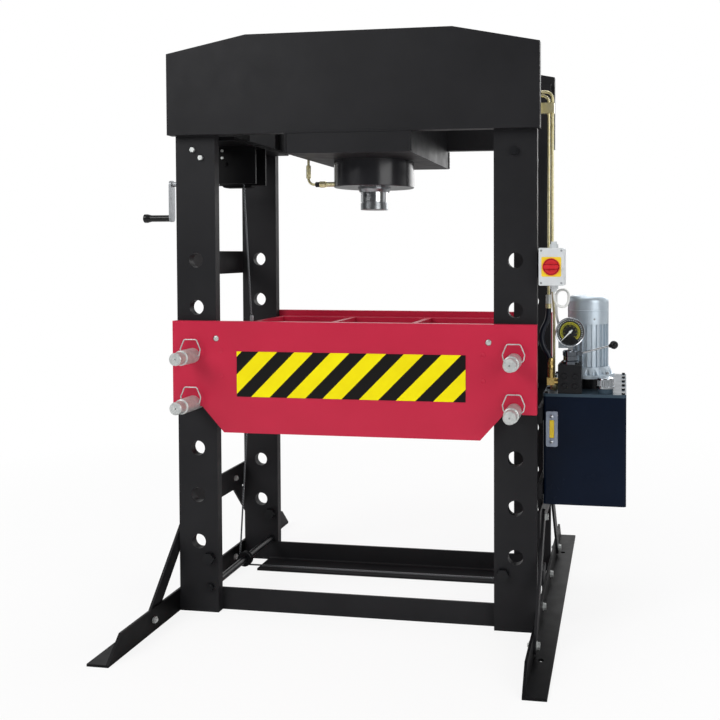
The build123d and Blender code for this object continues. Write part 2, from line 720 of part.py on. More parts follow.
# Frame bolts: hexagon heads on washers outside the feet, braces and lower ties, nuts inside them,
# the two bolts of the winch's bracket and two small screws in the winch's front cheek
FRAME_BOLTS = (
    (BRACE_OUTER, [(-BRACE_FOOT_Y, BRACE_FOOT_Z), (BRACE_FOOT_Y, BRACE_FOOT_Z)]),
    (BRACE_OUTER, [(-BRACE_TOP_Y, LOWER_TIE_Z), (BRACE_TOP_Y, LOWER_TIE_Z)]),
    (FOOT_OUTER, [(-FOOT_BOLT_Y, BRACE_FOOT_Z), (FOOT_BOLT_Y, BRACE_FOOT_Z)]),
)
WINCH_BOLTS = ((DRUM_X - 18, DRUM_Z + 27), (DRUM_X + 11, DRUM_Z))
CHEEK_SCREWS = ((DRUM_X - 10, DRUM_Z + 21), (DRUM_X - 10, DRUM_Z + 21 + CHEEK_SCREW_PITCH))
with BuildPart() as frame_bolts:
    for hand in (-1, 1):
        for outer, spots in FRAME_BOLTS:
            with BuildSketch(side(hand * outer)):
                with Locations(*spots):
                    Circle(WASHER_DIAMETER / 2)
            extrude(amount=hand * WASHER_THICKNESS)
            with BuildSketch(side(hand * (outer + WASHER_THICKNESS))):
                with Locations(*spots):
                    RegularPolygon(BOLT_FLATS / 2, 6, major_radius=False)
            extrude(amount=hand * BOLT_HEAD)
            with BuildSketch(side(hand * FRAME_EDGE)):
                with Locations(*spots):
                    RegularPolygon(BOLT_FLATS / 2, 6, major_radius=False)
            extrude(amount=-hand * BOLT_HEAD)
            with BuildSketch(side(hand * FRAME_EDGE)):
                with Locations(*spots):
                    Circle(BOLT_END / 2)
            extrude(amount=-hand * (BOLT_HEAD + BOLT_END_LENGTH))
    for face, outward in ((-HALF_DEPTH, 1), (-INNER_FACE + BRACKET_STEEL, -1)):
        with BuildSketch(front(face)):
            with Locations(*WINCH_BOLTS):
                RegularPolygon(WINCH_BOLT_FLATS / 2, 6, major_radius=False)
        extrude(amount=outward * BOLT_HEAD)
    with BuildSketch(front(WINCH_FRONT_Y)):
        with Locations(*CHEEK_SCREWS):
            RegularPolygon(CHEEK_SCREW / 2, 6, major_radius=False)
    extrude(amount=CHEEK_SCREW / 2)
save(frame_bolts.part, "frame_bolts")

# Cross rods: a large bolt with its nut through each upright, two long pulley axles with spacer
# tubes that keep each pulley in the middle, and a short axle in the right-hand fork
LONG_AXLES = ((LOW_LEFT_X, LOW_PULLEY_Z), (TOP_PULLEY_X, TOP_PULLEY_Z))
TUBE_START = PULLEY_WIDTH / 2 + PULLEY_SIDE_GAP
FORK_INNER = PULLEY_WIDTH / 2 + PULLEY_SIDE_GAP
FORK_OUTER = FORK_INNER + FORK_PLATE
with BuildPart() as cross_rods:
    for start in (-HALF_DEPTH, INNER_FACE):
        with BuildSketch(front(start)):
            with Locations((-THROUGH_BOLT_X, THROUGH_BOLT_Z), (THROUGH_BOLT_X, THROUGH_BOLT_Z)):
                Circle(THROUGH_BOLT / 2)
        extrude(amount=-UPRIGHT_THICKNESS)
    for face, outward in ((-HALF_DEPTH, 1), (-INNER_FACE, -1), (INNER_FACE, 1), (HALF_DEPTH, -1)):
        with BuildSketch(front(face)):
            with Locations((-THROUGH_BOLT_X, THROUGH_BOLT_Z), (THROUGH_BOLT_X, THROUGH_BOLT_Z)):
                RegularPolygon(THROUGH_BOLT_FLATS / 2, 6, major_radius=False)
        extrude(amount=outward * THROUGH_BOLT_HEAD)
    with BuildSketch(front(-HALF_DEPTH)):
        with Locations(*LONG_AXLES):
            Circle(AXLE_DIAMETER / 2)
    extrude(amount=-FRAME_DEPTH)
    for face, outward in ((-HALF_DEPTH, 1), (HALF_DEPTH, -1)):
        with BuildSketch(front(face)):
            with Locations(*LONG_AXLES):
                RegularPolygon(AXLE_FLATS / 2, 6, major_radius=False)
        extrude(amount=outward * AXLE_HEAD)
    for start, reach in ((-INNER_FACE, INNER_FACE - TUBE_START), (TUBE_START, INNER_FACE - TUBE_START)):
        with BuildSketch(front(start)):
            with Locations(*LONG_AXLES):
                Circle(SPACER_TUBE / 2)
        extrude(amount=-reach)
    with BuildSketch(front(-FORK_OUTER)):
        with Locations((LOW_RIGHT_X, LOW_PULLEY_Z)):
            Circle(AXLE_DIAMETER / 2)
    extrude(amount=-2 * FORK_OUTER)
    for face, outward in ((-FORK_OUTER, 1), (FORK_OUTER, -1)):
        with BuildSketch(front(face)):
            with Locations((LOW_RIGHT_X, LOW_PULLEY_Z)):
                RegularPolygon(AXLE_FLATS / 2, 6, major_radius=False)
        extrude(amount=outward * AXLE_HEAD)
save(cross_rods.part, "cross_rods")

# Fork for the low right pulley: two cheeks on a flange that is bolted inside the right foot
with BuildPart() as pulley_fork:
    for start in (-FORK_OUTER, FORK_INNER):
        with BuildSketch(front(start)):
            with Locations((LOW_RIGHT_X, LOW_PULLEY_Z)):
                Rectangle(
                    FRAME_EDGE - LOW_RIGHT_X,
                    2 * FORK_HALF_HEIGHT,
                    align=(Align.MIN, Align.CENTER),
                )
                Circle(FORK_HALF_HEIGHT)
                Circle(AXLE_DIAMETER / 2 + SHANK_CLEARANCE, mode=Mode.SUBTRACT)
        extrude(amount=-FORK_PLATE)
    with BuildSketch(side(FRAME_EDGE - FORK_PLATE)):
        with Locations((0, LOW_PULLEY_Z + FORK_HALF_HEIGHT)):
            Rectangle(
                FORK_FLANGE_WIDTH,
                LOW_PULLEY_Z + FORK_HALF_HEIGHT - ANGLE_STEEL,
                align=(Align.CENTER, Align.MAX),
            )
    extrude(amount=FORK_PLATE)
save(pulley_fork.part, "pulley_fork")

# Pulleys: grooved for the rope, running on their axles
for pulley_name, x, z, radius in (
    ("pulley_low_left", LOW_LEFT_X, LOW_PULLEY_Z, LOW_PULLEY_RADIUS),
    ("pulley_low_right", LOW_RIGHT_X, LOW_PULLEY_Z, LOW_PULLEY_RADIUS),
    ("pulley_top_right", TOP_PULLEY_X, TOP_PULLEY_Z, TOP_PULLEY_RADIUS),
):
    groove = radius - ROPE_DIAMETER / 2 - ROPE_GAP
    with BuildPart() as pulley:
        with BuildSketch(level(z)):
            with BuildLine():
                Polyline(
                    (x + AXLE_DIAMETER / 2 + RUNNING_FIT, -PULLEY_WIDTH / 2),
                    (x + radius + PULLEY_LIP, -PULLEY_WIDTH / 2),
                    (x + radius + PULLEY_LIP, -PULLEY_GROOVE),
                    (x + groove, -ROPE_DIAMETER / 2 - ROPE_GAP),
                    (x + groove, ROPE_DIAMETER / 2 + ROPE_GAP),
                    (x + radius + PULLEY_LIP, PULLEY_GROOVE),
                    (x + radius + PULLEY_LIP, PULLEY_WIDTH / 2),
                    (x + AXLE_DIAMETER / 2 + RUNNING_FIT, PULLEY_WIDTH / 2),
                    close=True,
                )
            make_face()
        revolve(axis=Axis((x, 0, z), (0, 1, 0)))
    save(pulley.part, pulley_name)

# Winch frame: a shelf between the left uprights, a bracket down the front one and two hanging
# cheeks with bearings for the drum
WINCH_SHELF_Z = HEAD_BOTTOM - WINCH_TOP
DRUM_SHAFT = AXLE_DIAMETER
with BuildPart() as winch_frame:
    with BuildSketch(level(WINCH_SHELF_Z)):
        with Locations((WINCH_X, 0)):
            Rectangle(WINCH_WIDTH, 2 * INNER_FACE)
    extrude(amount=WINCH_TOP)
    with BuildSketch(front(-INNER_FACE)):
        with Locations((DRUM_X, WINCH_SHELF_Z)):
            Rectangle(BRACKET_WIDTH, BRACKET_DROP, align=(Align.CENTER, Align.MAX))
    extrude(amount=-BRACKET_STEEL)
    for start in (WINCH_FRONT_Y, WINCH_REAR_Y):
        with BuildSketch(front(start)):
            with Locations((WINCH_X, WINCH_SHELF_Z)):
                Rectangle(
                    WINCH_WIDTH,
                    WINCH_SHELF_Z - WINCH_BOTTOM,
                    align=(Align.CENTER, Align.MAX),
                )
            with Locations((DRUM_X, DRUM_Z)):
                Circle(DRUM_SHAFT / 2 + RUNNING_FIT, mode=Mode.SUBTRACT)
        extrude(amount=-WINCH_PLATE)
save(winch_frame.part, "winch_frame")

# Winch gear case: closed worm-gear housing behind the rear cheek
GEARCASE_Y = WINCH_REAR_Y + WINCH_PLATE
with BuildPart() as winch_gearcase:
    with BuildSketch(front(GEARCASE_Y)):
        with Locations((DRUM_X, WINCH_SHELF_Z)):
            Rectangle(GEARCASE_LENGTH, GEARCASE_HEIGHT, align=(Align.CENTER, Align.MAX))
        with Locations((DRUM_X, DRUM_Z)):
            Circle(DRUM_SHAFT / 2 + RUNNING_FIT, mode=Mode.SUBTRACT)
    extrude(amount=-GEARCASE_DEPTH)
    fillet(winch_gearcase.edges().filter_by(Axis.Y).group_by(Axis.Z)[0], 14)
    with BuildSketch(side(DRUM_X - GEARCASE_LENGTH / 2)):
        with Locations((CRANK_Y, CRANK_Z)):
            Circle(CRANK_SHAFT / 2 + RUNNING_FIT)
    extrude(amount=GEARCASE_LENGTH / 2, mode=Mode.SUBTRACT)
save(winch_gearcase.part, "winch_gearcase")

# Winch drum: barrel, two flanges and a shaft through both cheeks into the gear case
DRUM_START = WINCH_FRONT_Y + WINCH_PLATE + DRUM_SIDE_GAP
DRUM_END = WINCH_REAR_Y - DRUM_SIDE_GAP
DRUM_BARREL = DRUM_RADIUS - ROPE_GAP
with BuildPart() as winch_drum:
    with BuildSketch(level(DRUM_Z)):
        with BuildLine():
            Polyline(
                (DRUM_X, WINCH_FRONT_Y - 6),
                (DRUM_X + DRUM_SHAFT / 2, WINCH_FRONT_Y - 6),
                (DRUM_X + DRUM_SHAFT / 2, DRUM_START),
                (DRUM_X + DRUM_FLANGE, DRUM_START),
                (DRUM_X + DRUM_FLANGE, DRUM_START + DRUM_FLANGE_THICKNESS),
                (DRUM_X + DRUM_BARREL, DRUM_START + DRUM_FLANGE_THICKNESS),
                (DRUM_X + DRUM_BARREL, DRUM_END - DRUM_FLANGE_THICKNESS),
                (DRUM_X + DRUM_FLANGE, DRUM_END - DRUM_FLANGE_THICKNESS),
                (DRUM_X + DRUM_FLANGE, DRUM_END),
                (DRUM_X + DRUM_SHAFT / 2, DRUM_END),
                (DRUM_X + DRUM_SHAFT / 2, GEARCASE_Y + GEARCASE_DEPTH),
                (DRUM_X, GEARCASE_Y + GEARCASE_DEPTH),
                close=True,
            )
        make_face()
    revolve(axis=Axis((DRUM_X, 0, DRUM_Z), (0, 1, 0)))
save(winch_drum.part, "winch_drum")

# Rope wound on the drum, as one plain sleeve
with BuildPart() as drum_wraps:
    with BuildSketch(front(DRUM_START + DRUM_FLANGE_THICKNESS)):
        with Locations((DRUM_X, DRUM_Z)):
            Circle(DRUM_BARREL + ROPE_DIAMETER)
            Circle(DRUM_BARREL, mode=Mode.SUBTRACT)
    extrude(amount=-WRAP_WIDTH)
save(drum_wraps.part, "drum_wraps")

# Winch crank: shaft out of the gear case, flat arm and a fixed pin for the grip
GRIP_Z = CRANK_Z - CRANK_THROW
with BuildPart() as winch_crank:
    with BuildSketch(side(CRANK_X)):
        with Locations((CRANK_Y, CRANK_Z)):
            Circle(CRANK_SHAFT / 2)
    extrude(amount=DRUM_X - CRANK_X - RUNNING_FIT)
    with BuildSketch(side(CRANK_X)):
        with Locations(Location((CRANK_Y, CRANK_Z - CRANK_THROW / 2), 90)):
            SlotCenterToCenter(CRANK_THROW, CRANK_ARM_WIDTH)
    extrude(amount=-CRANK_ARM_THICKNESS)
    with BuildSketch(side(CRANK_X - CRANK_ARM_THICKNESS)):
        with Locations((CRANK_Y, GRIP_Z)):
            Circle(GRIP_PIN / 2)
    extrude(amount=-GRIP_LENGTH - 2 * PULLEY_SIDE_GAP)
    with BuildSketch(side(CRANK_X - CRANK_ARM_THICKNESS - GRIP_LENGTH - 2 * PULLEY_SIDE_GAP)):
        with Locations((CRANK_Y, GRIP_Z)):
            Circle(GRIP_PIN * 0.8)
    extrude(amount=-3)
save(winch_crank.part, "winch_crank")

# Crank grip: turned handle with a flared end, free to spin on its pin
GRIP_START = CRANK_X - CRANK_ARM_THICKNESS - PULLEY_SIDE_GAP
with BuildPart() as crank_grip:
    with BuildSketch(level(GRIP_Z)):
        with BuildLine():
            Polyline(
                (GRIP_START, CRANK_Y - GRIP_PIN / 2 - RUNNING_FIT),
                (GRIP_START, CRANK_Y - GRIP_DIAMETER / 2),
                (GRIP_START - GRIP_LENGTH * 0.75, CRANK_Y - GRIP_DIAMETER / 2),
                (GRIP_START - GRIP_LENGTH * 0.9, CRANK_Y - GRIP_FLARE / 2),
                (GRIP_START - GRIP_LENGTH, CRANK_Y - GRIP_FLARE / 2),
                (GRIP_START - GRIP_LENGTH, CRANK_Y - GRIP_PIN / 2 - RUNNING_FIT),
                close=True,
            )
        make_face()
    revolve(axis=Axis((0, CRANK_Y, GRIP_Z), (1, 0, 0)))
save(crank_grip.part, "crank_grip")


def touch_point(end, centre, radius, turn):
    """Point where a taut rope from end touches a round of the given radius."""
    across, up = end[0] - centre[0], end[1] - centre[1]
    angle = atan2(up, across) + turn * acos(radius / sqrt(across**2 + up**2))
    return (centre[0] + radius * cos(angle), centre[1] + radius * sin(angle))


def polar_angle(point, centre):
    """Angle of a point seen from a centre, in degrees from 0 to 360."""
    return degrees(atan2(point[1] - centre[1], point[0] - centre[0])) % 360


# Lifting rope: straight from the drum's right side down to the left lug
WOUND_RADIUS = DRUM_RADIUS + ROPE_DIAMETER / 2
LEFT_LUG = (-LUG_X, LUG_TOP)
drum_touch = touch_point(LEFT_LUG, (DRUM_X, DRUM_Z), WOUND_RADIUS, 1)
with BuildPart() as rope_lifting:
    with BuildLine(Plane.XZ):
        lifting_line = Line(drum_touch, (LEFT_LUG[0], LUG_TOP - 1))
    with BuildSketch(Plane(origin=lifting_line @ 0, z_dir=lifting_line % 0)):
        Circle(ROPE_DIAMETER / 2)
    sweep(path=lifting_line)
    split(bisect_by=level(LUG_TOP), keep=Keep.TOP)
save(rope_lifting.part, "rope_lifting")

# Levelling rope: from the left lug down, under both low pulleys, up outside the right-hand pins,
# over the top pulley and down to the right lug, so that both ends of the bolster rise together
LOW_LEFT = (LOW_LEFT_X, LOW_PULLEY_Z)
LOW_RIGHT = (LOW_RIGHT_X, LOW_PULLEY_Z)
TOP_RIGHT = (TOP_PULLEY_X, TOP_PULLEY_Z)
LEFT_END = (-LUG_X, LUG_BOTTOM + 1)
RIGHT_END = (LUG_X, LUG_TOP - 1)
left_touch = touch_point(LEFT_END, LOW_LEFT, LOW_PULLEY_RADIUS, 1)
right_touch = touch_point(RIGHT_END, TOP_RIGHT, TOP_PULLEY_RADIUS, -1)
pulley_rise = TOP_PULLEY_Z - LOW_PULLEY_Z
pulley_shift = TOP_PULLEY_X - LOW_RIGHT_X
rise_angle = degrees(
    atan2(pulley_rise, pulley_shift)
    - acos((LOW_PULLEY_RADIUS - TOP_PULLEY_RADIUS) / sqrt(pulley_shift**2 + pulley_rise**2))
)
wrap_end = polar_angle(right_touch, TOP_RIGHT)
with BuildPart() as rope_levelling:
    with BuildLine(Plane.XZ) as levelling_line:
        Line(LEFT_END, left_touch)
        first = polar_angle(left_touch, LOW_LEFT)
        CenterArc(LOW_LEFT, LOW_PULLEY_RADIUS, first, 270 - first)
        Line(
            (LOW_LEFT[0], LOW_LEFT[1] - LOW_PULLEY_RADIUS),
            (LOW_RIGHT[0], LOW_RIGHT[1] - LOW_PULLEY_RADIUS),
        )
        low_arc = CenterArc(LOW_RIGHT, LOW_PULLEY_RADIUS, 270, 90 + rise_angle)
        top_arc = CenterArc(TOP_RIGHT, TOP_PULLEY_RADIUS, rise_angle, wrap_end - rise_angle)
        Line(low_arc @ 1, top_arc @ 0)
        Line(right_touch, RIGHT_END)
    with BuildSketch(Plane(origin=levelling_line.wire() @ 0, z_dir=levelling_line.wire() % 0)):
        Circle(ROPE_DIAMETER / 2)
    sweep(path=levelling_line.wire())
    with Locations((-LUG_X, 0, LUG_BOTTOM), (LUG_X, 0, LUG_BOTTOM)):
        Box(
            LUG_REACH,
            LUG_WIDTH,
            LUG_HEIGHT,
            align=(Align.CENTER, Align.CENTER, Align.MIN),
            mode=Mode.SUBTRACT,
        )
save(rope_levelling.part, "rope_levelling")
print("lifting rope", round(lifting_line.length), "mm; levelling rope", round(levelling_line.wire().length), "mm")

# Oil tank with rounded upright corners
TANK_CENTRE = (TANK_X + TANK_WIDTH / 2, TANK_FRONT_Y + TANK_DEPTH / 2)
with BuildPart() as tank:
    with BuildSketch(level(TANK_BOTTOM)):
        with Locations(TANK_CENTRE):
            RectangleRounded(TANK_WIDTH, TANK_DEPTH, TANK_CORNER)
    extrude(amount=TANK_HEIGHT)
save(tank.part, "tank")

# Tank lid with the neck of the filler
with BuildPart() as tank_lid:
    with BuildSketch(level(TANK_TOP)):
        with Locations(TANK_CENTRE):
            RectangleRounded(TANK_WIDTH, TANK_DEPTH, TANK_CORNER)
    extrude(amount=LID_THICKNESS)
    with BuildSketch(level(LID_TOP)):
        with Locations((FILLER_X, FILLER_Y)):
            Circle(FILLER_NECK / 2)
    extrude(amount=FILLER_NECK_HEIGHT)
save(tank_lid.part, "tank_lid")

# Lid bolts around the edge
with BuildPart() as lid_bolts:
    with BuildSketch(level(LID_TOP)):
        with Locations(TANK_CENTRE):
            with GridLocations(TANK_WIDTH - 2 * LID_BOLT_INSET, (TANK_DEPTH - 2 * LID_BOLT_INSET) / 5, 2, 6):
                RegularPolygon(LID_BOLT_FLATS / 2, 6, major_radius=False)
    extrude(amount=LID_BOLT_HEAD)
save(lid_bolts.part, "lid_bolts")

# Filler cap: breather cap with a rim, a fluted band and a rounded top, on the neck
FILLER_SEAT = LID_TOP + FILLER_NECK_HEIGHT
with BuildPart() as filler_cap:
    with BuildSketch(level(FILLER_SEAT)):
        with Locations((FILLER_X, FILLER_Y)):
            Circle(CAP_RIM / 2)
    extrude(amount=CAP_RIM_HEIGHT)
    with BuildSketch(level(FILLER_SEAT)):
        with Locations((FILLER_X, FILLER_Y)):
            Circle(FILLER_CAP / 2)
            with PolarLocations(FILLER_CAP / 2, CAP_FLUTES):
                Circle(CAP_TOP / 2, mode=Mode.SUBTRACT)
    extrude(amount=FILLER_CAP_HEIGHT - CAP_TOP)
    with BuildSketch(level(FILLER_SEAT + FILLER_CAP_HEIGHT - CAP_TOP)):
        with Locations((FILLER_X, FILLER_Y)):
            Circle(FILLER_CAP / 2)
    extrude(amount=CAP_TOP)
    fillet(filler_cap.faces().sort_by(Axis.Z)[-1].edges(), CAP_TOP / 2)
save(filler_cap.part, "filler_cap")

# Oil sight glass: frame with a window slot and two screw heads
with BuildPart() as sight_glass:
    with BuildSketch(front(TANK_FRONT_Y)):
        with Locations((SIGHT_X, SIGHT_Z)):
            RectangleRounded(SIGHT_WIDTH, SIGHT_HEIGHT, 5)
            Rectangle(SIGHT_WIDTH * 0.42, SIGHT_HEIGHT * 0.52, mode=Mode.SUBTRACT)
    extrude(amount=SIGHT_THICKNESS)
    with BuildSketch(front(TANK_FRONT_Y - SIGHT_THICKNESS)):
        with Locations((SIGHT_X, SIGHT_Z)):
            with GridLocations(0, SIGHT_HEIGHT * 0.72, 1, 2):
                Circle(SIGHT_WIDTH * 0.17)
    extrude(amount=3)
save(sight_glass.part, "sight_glass")

# Pump bell housing under the motor
with BuildPart() as pump_bell:
    with BuildSketch(level(LID_TOP)):
        with Locations((MOTOR_X, MOTOR_Y)):
            Circle(BELL_DIAMETER / 2)
    extrude(amount=BELL_HEIGHT)
save(pump_bell.part, "pump_bell")

# Motor: flange with a fluted shoulder, finned body and terminal box
FLANGE_Z = LID_TOP + BELL_HEIGHT
BODY_Z = FLANGE_Z + MOTOR_FLANGE_THICKNESS
BODY_TOP = BODY_Z + MOTOR_BODY_HEIGHT
TERMINAL_LEFT = MOTOR_X - TERMINAL_REACH
with BuildPart() as motor:
    with BuildSketch(level(FLANGE_Z)):
        with Locations((MOTOR_X, MOTOR_Y)):
            Circle(MOTOR_FLANGE / 2)
    extrude(amount=MOTOR_FLANGE_THICKNESS)
    with BuildSketch(Plane(origin=(MOTOR_X, MOTOR_Y, 0), x_dir=(1, 0, 0), z_dir=(0, -1, 0))):
        with BuildLine():
            Polyline(
                (0, BODY_Z),
                (MOTOR_SHOULDER / 2, BODY_Z),
                (MOTOR_BODY / 2 + FIN_HEIGHT + SHOULDER_STEP, BODY_Z + SHOULDER_HEIGHT),
                (0, BODY_Z + SHOULDER_HEIGHT),
                close=True,
            )
        make_face()
    revolve(axis=Axis((MOTOR_X, MOTOR_Y, 0), (0, 0, 1)))
    with BuildSketch(level(BODY_Z)):
        with Locations((MOTOR_X, MOTOR_Y)):
            with PolarLocations(MOTOR_SHOULDER / 2, SHOULDER_FLUTES):
                Circle(SHOULDER_FLUTE / 2)
    extrude(amount=SHOULDER_HEIGHT, mode=Mode.SUBTRACT)
    with BuildSketch(level(BODY_Z)):
        with Locations((MOTOR_X, MOTOR_Y)):
            Circle(MOTOR_BODY / 2)
            with PolarLocations(MOTOR_BODY / 2 + FIN_HEIGHT / 2 - 1, FIN_COUNT):
                Rectangle(FIN_HEIGHT + 2, FIN_THICKNESS)
    extrude(amount=MOTOR_BODY_HEIGHT)
    with Locations((TERMINAL_LEFT, MOTOR_Y, BODY_Z + MOTOR_BODY_HEIGHT / 2 + TERMINAL_HEIGHT / 2)):
        Box(
            MOTOR_X - TERMINAL_LEFT - MOTOR_BODY / 2 + 8,
            TERMINAL_LENGTH,
            TERMINAL_HEIGHT,
            align=(Align.MIN, Align.CENTER, Align.CENTER),
        )
    with Locations((MOTOR_X, MOTOR_Y, BODY_TOP)):
        Cylinder(
            FAN_SHAFT / 2 + RUNNING_FIT,
            FAN_SHAFT,
            align=(Align.CENTER, Align.CENTER, Align.MAX),
            mode=Mode.SUBTRACT,
        )
save(motor.part, "motor")

# Fan cover: domed sheet-metal cap with air slots in its top
COVER_TOP = BODY_TOP + COVER_HEIGHT
with BuildPart() as fan_cover:
    with BuildSketch(Plane(origin=(MOTOR_X, MOTOR_Y, 0), x_dir=(1, 0, 0), z_dir=(0, -1, 0))):
        with BuildLine():
            outer = FilletPolyline(
                (0, COVER_TOP),
                (COVER_DIAMETER / 2, COVER_TOP),
                (COVER_DIAMETER / 2, BODY_TOP),
                radius=COVER_ROUND,
            )
            inner = FilletPolyline(
                (0, COVER_TOP - COVER_WALL),
                (COVER_DIAMETER / 2 - COVER_WALL, COVER_TOP - COVER_WALL),
                (COVER_DIAMETER / 2 - COVER_WALL, BODY_TOP),
                radius=COVER_ROUND - COVER_WALL,
            )
            Line(outer @ 0, inner @ 0)
            Line(outer @ 1, inner @ 1)
        make_face()
    revolve(axis=Axis((MOTOR_X, MOTOR_Y, 0), (0, 0, 1)))
    with BuildSketch(level(COVER_TOP)):
        with Locations((MOTOR_X, MOTOR_Y)):
            with PolarLocations(COVER_DIAMETER * 0.22, 10):
                SlotOverall(COVER_DIAMETER * 0.2, 6)
    extrude(amount=-2 * COVER_WALL, mode=Mode.SUBTRACT)
save(fan_cover.part, "fan_cover")

# Motor fan: shaft end, hub and straight blades
with BuildPart() as motor_fan:
    with Locations((MOTOR_X, MOTOR_Y, BODY_TOP - FAN_SHAFT + 1)):
        Cylinder(FAN_SHAFT / 2, COVER_HEIGHT * 0.8, align=(Align.CENTER, Align.CENTER, Align.MIN))
    with Locations((MOTOR_X, MOTOR_Y, BODY_TOP + COVER_HEIGHT * 0.2)):
        Cylinder(FAN_SHAFT, COVER_HEIGHT * 0.4, align=(Align.CENTER, Align.CENTER, Align.MIN))
        with PolarLocations(FAN_DIAMETER / 4, FAN_BLADES):
            Box(FAN_DIAMETER / 2, 3, COVER_HEIGHT * 0.35, align=(Align.CENTER, Align.CENTER, Align.MIN))
save(motor_fan.part, "motor_fan")

# Valve block on the tank lid
with BuildPart() as valve_block:
    with BuildSketch(level(LID_TOP)):
        with Locations((VALVE_X, VALVE_Y)):
            Rectangle(BLOCK_WIDTH, BLOCK_DEPTH)
    extrude(amount=BLOCK_HEIGHT)
    chamfer(valve_block.faces().sort_by(Axis.Z)[-1].edges(), 2)
save(valve_block.part, "valve_block")

# Valve body: turned hand valve with two cheeks and a pin for the lever
VALVE_BASE = LID_TOP + BLOCK_HEIGHT
VALVE_TOP = VALVE_BASE + VALVE_HEIGHT
PIVOT = (VALVE_X + LEVER_PIVOT_REACH, VALVE_BASE + VALVE_HEIGHT * 0.8)
CHEEK_INNER = LEVER_HUB_WIDTH / 2 + PULLEY_SIDE_GAP
with BuildPart() as valve_body:
    with BuildSketch(Plane(origin=(VALVE_X, VALVE_Y, 0), x_dir=(1, 0, 0), z_dir=(0, -1, 0))):
        with BuildLine():
            Polyline(
                (0, VALVE_BASE),
                (VALVE_DIAMETER * 0.57, VALVE_BASE),
                (VALVE_DIAMETER * 0.57, VALVE_BASE + VALVE_HEIGHT * 0.2),
                (VALVE_DIAMETER * 0.46, VALVE_BASE + VALVE_HEIGHT * 0.28),
                (VALVE_DIAMETER * 0.46, VALVE_BASE + VALVE_HEIGHT * 0.6),
                (VALVE_DIAMETER / 2, VALVE_BASE + VALVE_HEIGHT * 0.64),
                (VALVE_DIAMETER / 2, VALVE_TOP - 3),
                (VALVE_DIAMETER / 2 - 3, VALVE_TOP),
                (0, VALVE_TOP),
                close=True,
            )
        make_face()
    revolve(axis=Axis((VALVE_X, VALVE_Y, 0), (0, 0, 1)))
    for start in (VALVE_Y - CHEEK_INNER - 4, VALVE_Y + CHEEK_INNER):
        with BuildSketch(front(start)):
            with Locations(PIVOT):
                Circle(LEVER_HUB / 2)
                Rectangle(LEVER_PIVOT_REACH / 2, LEVER_HUB, align=(Align.MAX, Align.CENTER))
        extrude(amount=-4)
    with BuildSketch(front(VALVE_Y - CHEEK_INNER)):
        with Locations(PIVOT):
            Circle(LEVER_PIN / 2)
    extrude(amount=-2 * CHEEK_INNER)
save(valve_body.part, "valve_body")

# Valve lever: hub on the pin, round rod and ball knob
LEVER_TIP = (
    PIVOT[0] + LEVER_LENGTH * cos(radians(LEVER_ANGLE)),
    PIVOT[1] + LEVER_LENGTH * sin(radians(LEVER_ANGLE)),
)
with BuildPart() as valve_lever:
    with BuildLine(front(VALVE_Y)):
        lever_line = Line(PIVOT, LEVER_TIP)
    with BuildSketch(Plane(origin=lever_line @ 0, z_dir=lever_line % 0)):
        Circle(LEVER_ROD / 2)
    sweep(path=lever_line)
    with BuildSketch(front(VALVE_Y - LEVER_HUB_WIDTH / 2)):
        with Locations(PIVOT):
            Circle(LEVER_HUB / 2)
    extrude(amount=-LEVER_HUB_WIDTH)
    with Locations((LEVER_TIP[0], VALVE_Y, LEVER_TIP[1])):
        Sphere(BALL_DIAMETER / 2)
    with BuildSketch(front(VALVE_Y - LEVER_HUB_WIDTH)):
        with Locations(PIVOT):
            Circle(LEVER_PIN / 2 + RUNNING_FIT)
    extrude(amount=-2 * LEVER_HUB_WIDTH, mode=Mode.SUBTRACT)
save(valve_lever.part, "valve_lever")

# Pressure gauge: case with a rim, dial recess, stem and the needle's pin
GAUGE_Z = VALVE_TOP + GAUGE_STEM_LENGTH + GAUGE_DIAMETER / 2
GAUGE_FRONT_Y = VALVE_Y - GAUGE_DEPTH / 2
GAUGE_FACE = GAUGE_DIAMETER / 2 - GAUGE_RIM
with BuildPart() as gauge_case:
    with BuildSketch(front(GAUGE_FRONT_Y)):
        with Locations((VALVE_X, GAUGE_Z)):
            Circle(GAUGE_DIAMETER / 2)
    extrude(amount=-GAUGE_DEPTH)
    fillet(gauge_case.edges().filter_by(GeomType.CIRCLE), 3)
    with BuildSketch(front(GAUGE_FRONT_Y)):
        with Locations((VALVE_X, GAUGE_Z)):
            Circle(GAUGE_FACE)
            Circle(NEEDLE_PIN / 2, mode=Mode.SUBTRACT)
    extrude(amount=-DIAL_DEPTH, mode=Mode.SUBTRACT)
    with BuildSketch(front(GAUGE_FRONT_Y)):
        with Locations((VALVE_X, GAUGE_Z)):
            Circle(GAUGE_FACE)
    extrude(amount=-2 * GLASS_THICKNESS, mode=Mode.SUBTRACT)
    with BuildSketch(level(VALVE_TOP)):
        with Locations((VALVE_X, VALVE_Y)):
            RegularPolygon(GAUGE_STEM / 2, 6, major_radius=False)
    extrude(amount=GAUGE_STEM_LENGTH + GAUGE_RIM)
save(gauge_case.part, "gauge_case")

# Gauge glass
with BuildPart() as gauge_glass:
    with BuildSketch(front(GAUGE_FRONT_Y + GLASS_THICKNESS / 2)):
        with Locations((VALVE_X, GAUGE_Z)):
            Circle(GAUGE_FACE)
    extrude(amount=-GLASS_THICKNESS)
save(gauge_glass.part, "gauge_glass")

